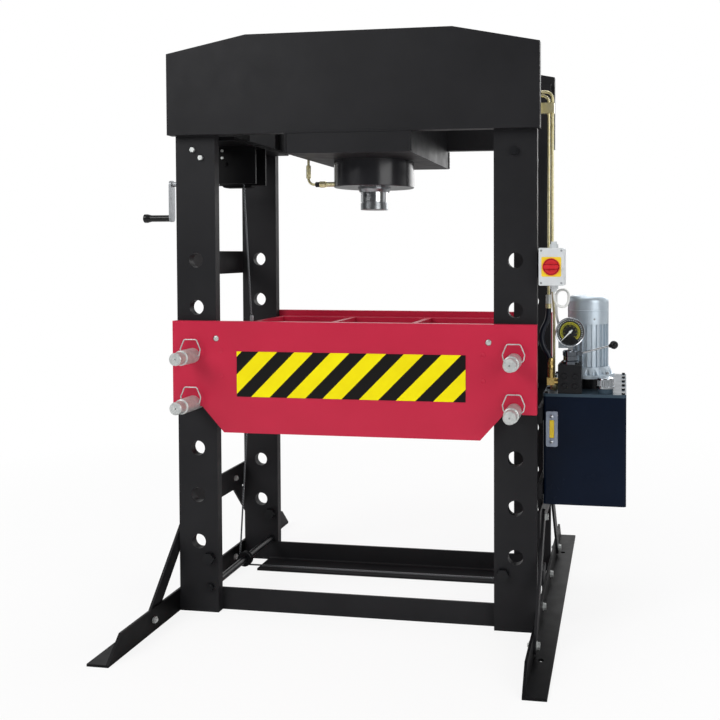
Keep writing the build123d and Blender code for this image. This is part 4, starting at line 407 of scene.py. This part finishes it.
# Nodes with softened edges, and how wide these are in millimetres
EDGE_WIDTH = {
    "upright_front_left": 1.2,
    "upright_front_right": 1.2,
    "upright_rear_left": 1.2,
    "upright_rear_right": 1.2,
    "head_plate_front": 1.5,
    "head_plate_rear": 1.5,
    "bolster_plate_front": 1.5,
    "bolster_plate_rear": 1.5,
    "cylinder_housing": 1.0,
    "feet": 0.8,
    "crossbars": 0.8,
    "side_ties": 1.0,
    "foot_braces": 1.0,
    "tank_lid": 1.0,
}


def circle(radius, height, count):
    """Points of a level circle, its sizes in millimetres."""
    turn = [2 * math.pi * i / count for i in range(count)]
    return [mm(radius * math.cos(angle), radius * math.sin(angle), height) for angle in turn]


class Builder:
    """Collects the faces of one piece before it becomes an object."""

    def __init__(self):
        self.mesh = bmesh.new()
        self.slots = []

    def material(self, name):
        """Index of a material slot, added when it is new."""
        if name not in self.slots:
            self.slots.append(name)
        return self.slots.index(name)

    def skin(self, rings, place, slot, closed=True, loop=False):
        """Faces between rows of points: closed joins each row's ends, loop the last row to the first."""
        index = self.material(slot)
        rows = [[self.mesh.verts.new(place @ Vector(point)) for point in ring] for ring in rings]
        pairs = list(zip(rows, rows[1:]))
        if loop:
            pairs.append((rows[-1], rows[0]))
        for low, high in pairs:
            count = len(low)
            for i in range(count if closed else count - 1):
                j = (i + 1) % count
                self.mesh.faces.new((low[i], low[j], high[j], high[i])).material_index = index
        return rows

    def cap(self, row, slot, flip=False):
        """A flat face over one ring."""
        face = self.mesh.faces.new(row[::-1] if flip else row)
        face.material_index = self.material(slot)

    def lathe(self, profile, place, slot, segments=40):
        """Turn a profile of (radius, height) pairs in millimetres about the local Z axis."""
        rings = [circle(radius, height, segments) for radius, height in profile]
        rows = self.skin(rings, place, slot)
        self.cap(rows[0], slot, flip=True)
        self.cap(rows[-1], slot)

    def slab(self, outline, low, high, place, slot, bevel=0.0):
        """Raise an outline in millimetres, with a bevel around its top."""
        centre = Vector((sum(p[0] for p in outline), sum(p[1] for p in outline))) / len(outline)
        levels = [(0.0, low), (0.0, high - bevel)]
        if bevel:
            levels.append((bevel, high))
        rings = []
        for inset, height in levels:
            ring = []
            for x, y in outline:
                away = Vector((x, y)) - centre
                inner = centre + away * (1 - inset / away.length)
                ring.append(mm(inner.x, inner.y, height))
            rings.append(ring)
        rows = self.skin(rings, place, slot)
        self.cap(rows[0], slot, flip=True)
        self.cap(rows[-1], slot)

    def finish(self, name, body=ROOT):
        """Make the object, smooth it between sharp edges and let it ride on a body."""
        sharp = math.radians(35)
        bmesh.ops.recalc_face_normals(self.mesh, faces=self.mesh.faces)
        for face in self.mesh.faces:
            face.smooth = True
        for edge in self.mesh.edges:
            edge.smooth = edge.calc_face_angle(0.0) < sharp
        data = bpy.data.meshes.new(name)
        self.mesh.to_mesh(data)
        self.mesh.free()
        piece = bpy.data.objects.new(name, data)
        bpy.context.scene.collection.objects.link(piece)
        for slot in self.slots:
            data.materials.append(MATERIALS[slot])
        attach(piece, body)


def facing(x, y, z, axis):
    """A place in millimetres whose local Z points along an axis given by name."""
    turns = {
        "+Z": Matrix.Identity(4),
        "-Z": Matrix.Rotation(math.pi, 4, "X"),
        "-Y": Matrix.Rotation(math.pi / 2, 4, "X"),
        "+Y": Matrix.Rotation(-math.pi / 2, 4, "X"),
        "+X": Matrix.Rotation(math.pi / 2, 4, "Y"),
        "-X": Matrix.Rotation(-math.pi / 2, 4, "Y"),
    }
    return Matrix.Translation(mm(x, y, z)) @ turns[axis]


def rectangle(width, height, corner, steps=4):
    """Corners of a rounded rectangle."""
    points = []
    for cx, cy, start in (
        (width / 2 - corner, height / 2 - corner, 0),
        (-width / 2 + corner, height / 2 - corner, 1),
        (-width / 2 + corner, -height / 2 + corner, 2),
        (width / 2 - corner, -height / 2 + corner, 3),
    ):
        for step in range(steps + 1):
            angle = (start + step / steps) * math.pi / 2
            points.append((cx + corner * math.cos(angle), cy + corner * math.sin(angle)))
    return points


def socket_screw(piece, place, radius, height, slot):
    """Cap screw with a hexagon socket."""
    piece.lathe(
        [
            (radius, 0),
            (radius, height * 0.8),
            (radius * 0.88, height),
            (radius * 0.55, height),
            (radius * 0.5, height * 0.45),
        ],
        place,
        slot,
        24,
    )


def cross_screw(piece, place, radius, slot):
    """Low domed screw head with a dished middle."""
    shares = ((1, 0), (0.96, 0.25), (0.6, 0.42), (0.2, 0.3))
    piece.lathe([(radius * across, radius * high) for across, high in shares], place, slot, 20)


def weld(piece, start, end, radius, slot, seed):
    """A rippled weld bead between two points in millimetres; the seed moves its ripples."""
    ripple_pitch, fewest, sides = 4, 6, 8
    start, end = Vector(start), Vector(end)
    run = end - start
    steps = max(fewest, int(run.length / ripple_pitch))
    along = run.normalized()
    across = along.orthogonal().normalized()
    other = along.cross(across)
    rings = []
    for i in range(steps + 1):
        ripple = 1 + 0.14 * math.sin(i * 2.1) + 0.06 * math.sin(i * 0.7 + seed)
        centre = start + run * (i / steps)
        ring = []
        for j in range(sides):
            angle = 2 * math.pi * j / sides
            offset = (across * math.cos(angle) + other * math.sin(angle)) * radius * ripple
            ring.append((centre + offset) * 0.001)
        rings.append(ring)
    rows = piece.skin(rings, Matrix.Identity(4), slot)
    piece.cap(rows[0], slot, flip=True)
    piece.cap(rows[-1], slot)


def curve_piece(name, points, radius, material):
    """A round NURBS curve that follows control points in millimetres and starts and ends on them."""
    data = bpy.data.curves.new(name, "CURVE")
    data.dimensions = "3D"
    data.bevel_depth = radius * 0.001
    data.bevel_resolution = 5
    data.resolution_u = 10
    data.use_fill_caps = True
    spline = data.splines.new("NURBS")
    spline.points.add(len(points) - 1)
    for point, place in zip(spline.points, points):
        point.co = (*mm(*place), 1)
    spline.order_u = 3
    spline.use_endpoint_u = True
    data.materials.append(MATERIALS[material])
    piece = bpy.data.objects.new(name, data)
    bpy.context.scene.collection.objects.link(piece)
    return piece


# Control points of the hose in millimetres, from its upper ferrule to the elbow
HOSE_POINTS = [
    (645, -185, 1044.6),
    (645, -185, 1009),
    (620, -185, 966),
    (625, -185, 920),
    (652.5, -185, 882),
    (652.5, -185, 845),
]
# Control points of the motor cable in millimetres, from the switch box's gland to the motor
CABLE_POINTS = [
    (668, -254, 1102.1),
    (668, -254, 1058),
    (712, -246, 1050),
    (716, -236, 1108),
    (672, -224, 1106),
    (672, -202, 1050),
    (670, -162, 1012),
    (678, -132, 972),
    (686, -123, 934),
    (686, -83, 934),
]


def build_cords():
    """The hose to the valve block and the loose motor cable."""
    hose = curve_piece("hose_tube", HOSE_POINTS, 9, "hose_rubber")
    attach(hose, ROOT)
    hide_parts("hose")
    cable = curve_piece("motor_lead", CABLE_POINTS, 4, "white_plastic")
    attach(cable, ROOT)
    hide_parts("motor_cable")


def dial_strip(face, place, radii, angles, slot, steps):
    """A strip of the dial between two radii in millimetres and two angles in degrees."""
    start, end = angles
    edges = ([], [])
    for i in range(steps + 1):
        angle = math.radians(start + (end - start) * i / steps)
        for edge, radius in zip(edges, radii):
            edge.append(mm(radius * math.cos(angle), radius * math.sin(angle), 0))
    face.skin(edges, place, slot, closed=False)


def build_dial():
    """Black face with its yellow inner scale and white outer scale."""
    x, y, z = GAUGE
    face_edge, face_thickness = 43.6, 0.3
    line, yellow_block, white_block, fine_mark = (31.2, 32.6), (24.5, 31.2), (36.8, 41.8), (40.4, 41.8)
    yellow_half, white_half, fine_half = 1.9, 1.3, 0.35
    face = Builder()
    profile = [(face_edge, 0), (face_edge, face_thickness)]
    face.lathe(profile, facing(x, y + DIAL_DEPTH, z, "-Y"), "dial_black", 64)
    place = facing(x, y + SCALE_DEPTH, z, "-Y")
    dial_strip(face, place, line, (SCALE_START - SCALE_SWEEP, SCALE_START), "dial_yellow", 64)
    for i in range(SCALE_BLOCKS + 1):
        angle = SCALE_START - SCALE_SWEEP * i / SCALE_BLOCKS
        dial_strip(face, place, yellow_block, (angle - yellow_half, angle + yellow_half), "dial_yellow", 2)
        dial_strip(face, place, white_block, (angle - white_half, angle + white_half), "needle_paint", 2)
    for i in range(SCALE_FINE_MARKS + 1):
        angle = SCALE_START - SCALE_SWEEP * i / SCALE_FINE_MARKS
        dial_strip(face, place, fine_mark, (angle - fine_half, angle + fine_half), "needle_paint", 1)
    face.finish("gauge_dial")


def build_numbers(numbers):
    """Plain numbers inside the yellow scale."""
    x, y, z = GAUGE
    reach, height = 20.0, 3.4
    for i in range(numbers):
        angle = math.radians(SCALE_START - SCALE_SWEEP * i / (numbers - 1))
        text = bpy.data.curves.new(f"dial_number_{i}", "FONT")
        text.body = str(i * NUMBER_STEP)
        text.size = height * 0.001
        text.align_x = "CENTER"
        text.align_y = "CENTER"
        text.materials.append(MATERIALS["dial_yellow"])
        label = bpy.data.objects.new(f"dial_number_{i}", text)
        bpy.context.scene.collection.objects.link(label)
        spot = (x + reach * math.cos(angle), y + NUMBER_DEPTH, z + reach * math.sin(angle))
        label.matrix_world = facing(*spot, "-Y")
        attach(label, ROOT)


def build_needle():
    """White blade and hub over the needle, which turns with it."""
    x, y, z = GAUGE
    tail, shoulder, tip = -10, 37, 38.5
    tail_half, shoulder_half, thickness = 2.6, 1.0, 0.3
    outline = [
        (tail, -tail_half),
        (shoulder, -shoulder_half),
        (tip, 0),
        (shoulder, shoulder_half),
        (tail, tail_half),
    ]
    place = facing(x, y + NEEDLE_DEPTH, z, "-Y")
    at_zero = Matrix.Rotation(math.radians(SCALE_START), 4, "Z")
    blade = Builder()
    blade.slab(outline, 0.0, thickness, place @ at_zero, "needle_paint")
    blade.lathe([(4.4, 0), (4.4, 1.0), (3.4, 1.4)], place, "needle_paint", 28)
    blade.finish("needle_blade", body="needle")


def build_bezel():
    """Rolled nickel rim round the glass."""
    profile = [(44.2, 1.0), (44.2, -0.6), (45.4, -1.3), (47.0, -1.0), (47.9, 0.6), (47.9, 3.0)]
    rings = [circle(radius, -depth, 72) for radius, depth in profile]
    bezel = Builder()
    bezel.skin(rings, facing(*GAUGE, "-Y"), "nickel")
    bezel.finish("gauge_bezel")


def build_switch():
    """Yellow plate, the screws of the box, and dark red painted shade in the knob's groove and round its
    grip.
    """
    x, y, z = SWITCH
    plate_side, plate_corner, plate_steel, plate_bevel = 62, 4, 0.8, 0.3
    screw_x, screw_z, screw_radius = 32, 51, 3.6
    plate = Builder()
    outline = rectangle(plate_side, plate_side, plate_corner)
    plate.slab(outline, 0, plate_steel, facing(x, y, z, "-Y"), "yellow_plastic", plate_bevel)
    for dx in (-screw_x, screw_x):
        for dz in (-screw_z, screw_z):
            cross_screw(plate, facing(x + dx, y, z + dz, "-Y"), screw_radius, "galvanised")
    plate.finish("switch_plate")

    # a thin dark red slab under the grip and a ring on the knob: painted shade of the grip and the groove
    bar_length, bar_width, bar_corner = 51, 15, 7
    groove_inner, groove_outer = 22.6, 24.2
    low, high = 4.3, 4.6
    marks = Builder()
    outline = rectangle(bar_length, bar_width, bar_corner)
    marks.slab(outline, low, high, facing(x, y, z, "-Y"), "groove_shade_red")
    section = ((groove_inner, low), (groove_inner, high), (groove_outer, high), (groove_outer, low))
    rings = [circle(radius, height, 64) for radius, height in section]
    marks.skin(rings, facing(x, y, z, "-Y"), "groove_shade_red", loop=True)
    marks.finish("knob_painted_shade", body="knob")


def build_motor():
    """Flange bolts, the screws of the fan cover and the bead at its edge."""
    x, y = MOTOR
    flange_top = LID_TOP + BELL_HEIGHT + FLANGE_THICKNESS
    cover_bottom = flange_top + MOTOR_BODY_HEIGHT
    bolt_circle, first_bolt, bolt_radius, bolt_height = 82, 54, 5.5, 7
    screw_circle, first_screw, screw_radius, screw_rise = 69.4, 20, 3.4, 18
    detail = Builder()
    for i in range(4):
        angle = math.radians(first_bolt + 90 * i)
        spot = (x + bolt_circle * math.cos(angle), y + bolt_circle * math.sin(angle))
        socket_screw(detail, facing(*spot, flange_top, "+Z"), bolt_radius, bolt_height, "galvanised")
    for i in range(4):
        angle = math.radians(first_screw + 90 * i)
        place = Matrix.Translation(mm(x, y, cover_bottom + screw_rise)) @ Matrix.Rotation(angle, 4, "Z")
        cross_screw(detail, place @ facing(screw_circle, 0, 0, "+X"), screw_radius, "galvanised")
    detail.finish("motor_screws")
    section = ((69.5, 44), (70.1, 44.6), (70.1, 46.6), (69.5, 47.2))
    band = Builder()
    rings = [circle(radius, height, 64) for radius, height in section]
    band.skin(rings, Matrix.Translation(mm(x, y, cover_bottom)), "motor_paint")
    band.finish("cover_bead")


def build_winch_rope():
    """Wound turns of wire rope on the drum, instead of the plain wraps."""
    x, z = DRUM
    turns, pitch, radius, rope_radius = 7.6, 6.3, 34.9, 2.9
    first_y, per_turn = -51, 14
    points = []
    for i in range(int(turns * per_turn)):
        angle = 2 * math.pi * i / per_turn
        y = first_y + pitch * i / per_turn
        points.append((x + radius * math.cos(angle), y, z - radius * math.sin(angle)))
    rope = curve_piece("wound_rope", points, rope_radius, "wire_rope")
    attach(rope, "drum")
    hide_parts("drum_wraps")


def build_rope_ends():
    """Hexagon nut and pressed socket where each rope meets the bolster's lugs."""
    nut = [(9, 0), (9, 7), (7, 8)]
    socket = [(6, 8), (6.2, 10), (6.2, 34), (4.4, 38)]
    lug_x, lug_top, lug_bottom = 470, 958, 928
    ropes = Builder()
    for x, z, way in ((-lug_x, lug_top, "+Z"), (-lug_x, lug_bottom, "-Z"), (lug_x, lug_top, "+Z")):
        place = facing(x, 0, z, way)
        ropes.lathe(nut, place, "galvanised", 6)
        ropes.lathe(socket, place, "galvanised", 24)
    ropes.finish("rope_ends")


def build_lever_ball():
    """Black ball with its neck at the end of the lever."""
    centre, lean = (857.2, -170, 925.4), 75
    ball_radius, first, sweep, steps = 13.8, -58, 146, 18
    neck = [(5.0, -17), (6.4, -13)]
    turn = [math.radians(first + sweep * i / steps) for i in range(steps + 1)]
    round_part = [(ball_radius * math.cos(angle), ball_radius * math.sin(angle)) for angle in turn]
    ball = Builder()
    place = Matrix.Translation(mm(*centre)) @ Matrix.Rotation(math.radians(lean), 4, "Y")
    ball.lathe(neck + round_part, place, "black_plastic")
    ball.finish("lever_ball", body="lever")


def build_tube_sleeves():
    """Yellow zinc sleeve and black nut on the tubes at the housing."""
    sleeve = [(5.2, 0), (8.4, 1), (8.4, 46), (5.2, 48)]
    nut = [(5.2, 0), (9.5, 1.5), (9.5, 14), (7, 16)]
    sleeves = Builder()
    sleeves.lathe(sleeve, facing(-247, 0, 1496, "+Z"), "zinc_yellow", 24)
    sleeves.lathe(nut, facing(-221, 0, 1474, "+X"), "black_iron", 6)
    sleeves.finish("tube_sleeves")


def build_tie_studs():
    """Low domed stud ends in the bolster's tie holes."""
    tie_x, tie_z = TIE_HOLE
    depth = 3
    profile = [(9.6, 0), (9.6, 0.6), (8.4, 1.6), (2.5, 2.2)]
    studs = Builder()
    for x in (-tie_x, tie_x):
        for y, way in ((depth - BOLSTER_FACE, "-Y"), (BOLSTER_FACE - depth, "+Y")):
            studs.lathe(profile, facing(x, y, tie_z, way), "pin_zinc", 28)
    studs.finish("tie_studs")


def build_shade_sheet():
    """Black sheet between the winch's plate and the head, put there as painted shade over a gap where light
    would show.
    """
    width, height, corner, steel, bevel = 126, 72, 3, 2, 0.5
    shade_sheet = Builder()
    place = facing(-543, 16, 1646, "-Y")
    shade_sheet.slab(rectangle(width, height, corner), 0, steel, place, "painted_shade_black", bevel)
    shade_sheet.finish("winch_shade_sheet")


def build_plug_welds():
    """Round plug welds over the spacers, on both faces of the bolster."""
    spacer_x, heights = 444, (815, 900)
    profile = [(9, 0), (8.4, 0.9), (6.8, 1.0), (5.4, 0.3)]
    plugs = Builder()
    for x in (-spacer_x, spacer_x):
        for z in heights:
            plugs.lathe(profile, facing(x, -BOLSTER_FACE, z, "-Y"), "bolster_paint", 28)
            plugs.lathe(profile, facing(x, BOLSTER_FACE, z, "+Y"), "bolster_paint", 28)
    plugs.finish("bolster_plug_welds")


def build_welds():
    """Beads at the corners and the top of the housing, and at the side ties."""
    corner_radius, top_radius, end_gap = 4, 3.5, 2
    tie_y, tie_half_length, tie_radius = 250, 42, 4
    face_y, edge_x = HOUSING_FACE - 1, FRAME_EDGE - 3
    low, high = HOUSING_BOTTOM + end_gap, HEAD_BOTTOM - end_gap
    reach = HOUSING_SIDE - end_gap
    welds = Builder()
    for x in (-HOUSING_SIDE, HOUSING_SIDE):
        for y in (-face_y, face_y):
            weld(welds, (x, y, low), (x, y, high), corner_radius, "frame_paint", x)
    for y in (-face_y, face_y):
        weld(welds, (-reach, y, HEAD_BOTTOM), (reach, y, HEAD_BOTTOM), top_radius, "frame_paint", y)
    for x in (-edge_x, edge_x):
        for y in (-tie_y, tie_y):
            for z in SIDE_TIE_HEIGHTS:
                start, end = (x, y, z - tie_half_length), (x, y, z + tie_half_length)
                weld(welds, start, end, tie_radius, "frame_paint", z)
    welds.finish("housing_welds")


def build_block_ports():
    """Corner screws and four plugged ports of the valve block."""
    x, y = VALVE_BLOCK
    screw_x, screw_y, screw_radius, screw_height = 28, 21, 4.4, 5
    port_x, port_heights = 17, (822, 790)
    port = [(11, 0), (11, 2.5), (8.6, 3), (7.4, 1), (5, 0.8)]
    pack = Builder()
    for dx in (-screw_x, screw_x):
        for dy in (-screw_y, screw_y):
            place = facing(x + dx, y + dy, LID_TOP + BLOCK_HEIGHT, "+Z")
            socket_screw(pack, place, screw_radius, screw_height, "black_iron")
    for z in port_heights:
        for dx in (-port_x, port_x):
            pack.lathe(port, facing(x + dx, BLOCK_FRONT, z, "-Y"), "black_iron", 28)
    pack.finish("pack_plugs")


def build_hose_ferrules():
    """Zinc ferrule at the hose's upper end and the grooved brass one at its lower end."""
    upper = [(5, 0), (9.6, 1), (9.6, 40), (8.8, 42), (5, 43)]
    lower = [(6, 0), (10.4, 1), (10.4, 12), (9.8, 13), (10.4, 14), (10.4, 34), (9.2, 36)]
    ends = Builder()
    ends.lathe(upper, facing(645, -185, 1046, "+Z"), "pin_zinc", 28)
    ends.lathe(lower, facing(652.5, -185, 846, "+Z"), "brass", 28)
    ends.finish("hose_ferrules")


def build_sight_glass():
    """Oil behind the window, and the two screws of the oil gauge."""
    x, z = SIGHT_GLASS
    width, height, corner = 15, 58, 3
    window = Builder()
    place = facing(x, SIGHT_FRONT, z, "-Y")
    window.slab(rectangle(width, height, corner), -4, -1.5, place, "oil")
    window.finish("oil_window")
    screw_offset, screw_radius = 41.4, 5.2
    screws = Builder()
    for dz in (-screw_offset, screw_offset):
        place = facing(x, SIGHT_FRONT - SIGHT_BOSS, z + dz, "-Y")
        cross_screw(screws, place, screw_radius, "nickel")
    screws.finish("sight_screws")


def build_floor(scene):
    """Pale floor that keeps shadows near the press and is plain white further away."""
    half_side, near, far, near_white = 30, 1.0, 3.2, 0.86
    material = bpy.data.materials.new("studio_floor")
    material.use_nodes = True
    tree = material.node_tree
    shader = tree.nodes["Principled BSDF"]
    shader.inputs["Base Color"].default_value = linear("#FAFAFA")
    shader.inputs["Roughness"].default_value = 0.9
    glow = add(tree, "ShaderNodeEmission", {"Color": (1, 1, 1, 1), "Strength": 1.0})
    rays = add(tree, "ShaderNodeLightPath")
    away = add(tree, "ShaderNodeVectorMath", {"operation": "LENGTH"})
    tree.links.new(add(tree, "ShaderNodeTexCoord").outputs["Object"], away.inputs[0])
    white_share = span(tree, away.outputs["Value"], near_white, 1.0, near, far)
    share = add(tree, "ShaderNodeMath", {"operation": "MULTIPLY"})
    tree.links.new(rays.outputs["Is Camera Ray"], share.inputs[0])
    tree.links.new(white_share, share.inputs[1])
    mix = add(tree, "ShaderNodeMixShader")
    tree.links.new(share.outputs[0], mix.inputs[0])
    tree.links.new(shader.outputs[0], mix.inputs[1])
    tree.links.new(glow.outputs[0], mix.inputs[2])
    tree.links.new(mix.outputs[0], tree.nodes["Material Output"].inputs["Surface"])
    data = bpy.data.meshes.new("floor")
    corners = [(-half_side, -half_side, 0), (half_side, -half_side, 0)]
    corners += [(half_side, half_side, 0), (-half_side, half_side, 0)]
    data.from_pydata(corners, [], [(0, 1, 2, 3)])
    data.materials.append(material)
    floor = bpy.data.objects.new("floor", data)
    scene.collection.objects.link(floor)


def build_world(scene, level):
    """White background; gloss sees a room that is dark in front of the press and white behind it."""
    dark_side, white_side, soft_light = -0.1, 0.45, 0.3
    world = bpy.data.worlds.new("studio")
    scene.world = world
    world.use_nodes = True
    tree = world.node_tree
    soft = tree.nodes["Background"]
    rays = add(tree, "ShaderNodeLightPath")
    way = add(tree, "ShaderNodeSeparateXYZ", Vector=add(tree, "ShaderNodeTexCoord").outputs["Generated"])
    share = span(tree, way.outputs["Y"], 0.0, 1.0, dark_side, white_side)
    room = blend(tree, share, "#3C3C3E", "#FFFFFF")
    tree.links.new(blend(tree, rays.outputs["Is Glossy Ray"], "#FFFFFF", room), soft.inputs["Color"])
    power = span(tree, rays.outputs["Is Glossy Ray"], soft_light * level, 1.0, 0.0, 1.0)
    tree.links.new(power, soft.inputs["Strength"])
    white = add(tree, "ShaderNodeBackground", {"Color": (1, 1, 1, 1), "Strength": 1.0})
    seen = add(tree, "ShaderNodeMath", {"operation": "MAXIMUM"})
    tree.links.new(rays.outputs["Is Camera Ray"], seen.inputs[0])
    tree.links.new(rays.outputs["Is Transmission Ray"], seen.inputs[1])
    mix = add(tree, "ShaderNodeMixShader")
    tree.links.new(seen.outputs[0], mix.inputs[0])
    tree.links.new(soft.outputs[0], mix.inputs[1])
    tree.links.new(white.outputs[0], mix.inputs[2])
    tree.links.new(mix.outputs[0], tree.nodes["World Output"].inputs["Surface"])


def build_lamps(scene, level):
    """Soft square lamps that all point at the middle of the press."""
    target = Vector((0.0, 0.0, 1.0))
    for name, place, size, power in LAMPS:
        lamp = bpy.data.lights.new(name, "AREA")
        lamp.shape = "SQUARE"
        lamp.size = size
        lamp.energy = power * level
        holder = bpy.data.objects.new(name, lamp)
        holder.location = place
        holder.rotation_euler = (target - Vector(place)).to_track_quat("-Z", "Y").to_euler()
        scene.collection.objects.link(holder)


def build_camera(scene):
    """The camera, at the photograph's viewing angle."""
    lens = bpy.data.cameras.new("camera")
    lens.sensor_width = 36
    lens.lens = CAMERA_LENS
    lens.shift_x, lens.shift_y = CAMERA_SHIFT
    lens.clip_end = 100
    camera = bpy.data.objects.new("camera", lens)
    camera.location = mm(*CAMERA_PLACE)
    camera.rotation_euler = CAMERA_TURN
    scene.collection.objects.link(camera)
    scene.camera = camera


class PressSettings(bpy.types.PropertyGroup):
    """What the user may change before the press is dressed."""

    light_level: bpy.props.FloatProperty(
        name="Light level",
        description="How bright the lamps and the room are, 1 being the plain level",
        default=1.0,
        min=0.2,
        max=3.0,
    )
    dial_numbers: bpy.props.IntProperty(
        name="Dial numbers",
        description="How many numbers the gauge's scale has, in steps of fifty",
        default=9,
        min=3,
        max=13,
    )


class PRESS_OT_materials(bpy.types.Operator):
    """Make the materials and paint the CAD nodes."""

    bl_idname = "press.materials"
    bl_label = "Paint the press"

    def execute(self, context):
        make_materials()
        paint_nodes()
        return {"FINISHED"}


class PRESS_OT_cords(bpy.types.Operator):
    """Lay the hose and the motor cable."""

    bl_idname = "press.cords"
    bl_label = "Lay the cords"

    def execute(self, context):
        build_cords()
        return {"FINISHED"}


class PRESS_OT_gauge(bpy.types.Operator):
    """Build the gauge's dial, numbers, needle and bezel."""

    bl_idname = "press.gauge"
    bl_label = "Build the gauge"

    def execute(self, context):
        build_dial()
        build_numbers(context.scene.press_settings.dial_numbers)
        build_needle()
        build_bezel()
        return {"FINISHED"}


class PRESS_OT_switch(bpy.types.Operator):
    """Build the switch's plate and screws."""

    bl_idname = "press.switch"
    bl_label = "Build the switch"

    def execute(self, context):
        build_switch()
        return {"FINISHED"}


class PRESS_OT_pack(bpy.types.Operator):
    """Build the small parts of the motor and the tank."""

    bl_idname = "press.pack"
    bl_label = "Build the power pack's parts"

    def execute(self, context):
        build_motor()
        build_block_ports()
        build_hose_ferrules()
        build_sight_glass()
        return {"FINISHED"}


class PRESS_OT_small_parts(bpy.types.Operator):
    """Build the wound rope, rope ends, sleeves, studs, the painted shade sheet and welds."""

    bl_idname = "press.small_parts"
    bl_label = "Build the frame's small parts"

    def execute(self, context):
        build_winch_rope()
        build_rope_ends()
        build_lever_ball()
        build_tube_sleeves()
        build_tie_studs()
        build_shade_sheet()
        build_plug_welds()
        build_welds()
        return {"FINISHED"}


class PRESS_OT_stage(bpy.types.Operator):
    """Set up the floor, lamps and camera."""

    bl_idname = "press.stage"
    bl_label = "Set up the studio"

    def execute(self, context):
        scene, level = context.scene, context.scene.press_settings.light_level
        scene.view_settings.view_transform = "Standard"
        build_floor(scene)
        build_world(scene, level)
        build_lamps(scene, level)
        build_camera(scene)
        return {"FINISHED"}


class PRESS_PT_panel(bpy.types.Panel):
    """Buttons in the 3D view's sidebar."""

    bl_idname = "PRESS_PT_panel"
    bl_label = "Workshop press"
    bl_space_type = "VIEW_3D"
    bl_region_type = "UI"
    bl_category = "Press"

    def draw(self, context):
        settings = context.scene.press_settings
        self.layout.prop(settings, "light_level")
        self.layout.prop(settings, "dial_numbers")
        for operator in OPERATORS:
            self.layout.operator(operator.bl_idname)


OPERATORS = (
    PRESS_OT_materials,
    PRESS_OT_stage,
    PRESS_OT_cords,
    PRESS_OT_gauge,
    PRESS_OT_switch,
    PRESS_OT_pack,
    PRESS_OT_small_parts,
)
CLASSES = (PressSettings, *OPERATORS, PRESS_PT_panel)


def register():
    """Register the classes and the scene's settings."""
    for cls in CLASSES:
        bpy.utils.register_class(cls)
    bpy.types.Scene.press_settings = bpy.props.PointerProperty(type=PressSettings)


def unregister():
    """Remove the settings and the classes."""
    del bpy.types.Scene.press_settings
    for cls in reversed(CLASSES):
        bpy.utils.unregister_class(cls)


def main():
    """Dress the press."""
    register()
    bpy.ops.press.materials()
    bpy.ops.press.stage()
    bpy.ops.press.cords()
    bpy.ops.press.gauge()
    bpy.ops.press.switch()
    bpy.ops.press.pack()
    bpy.ops.press.small_parts()


if __name__ == "__main__":
    main()
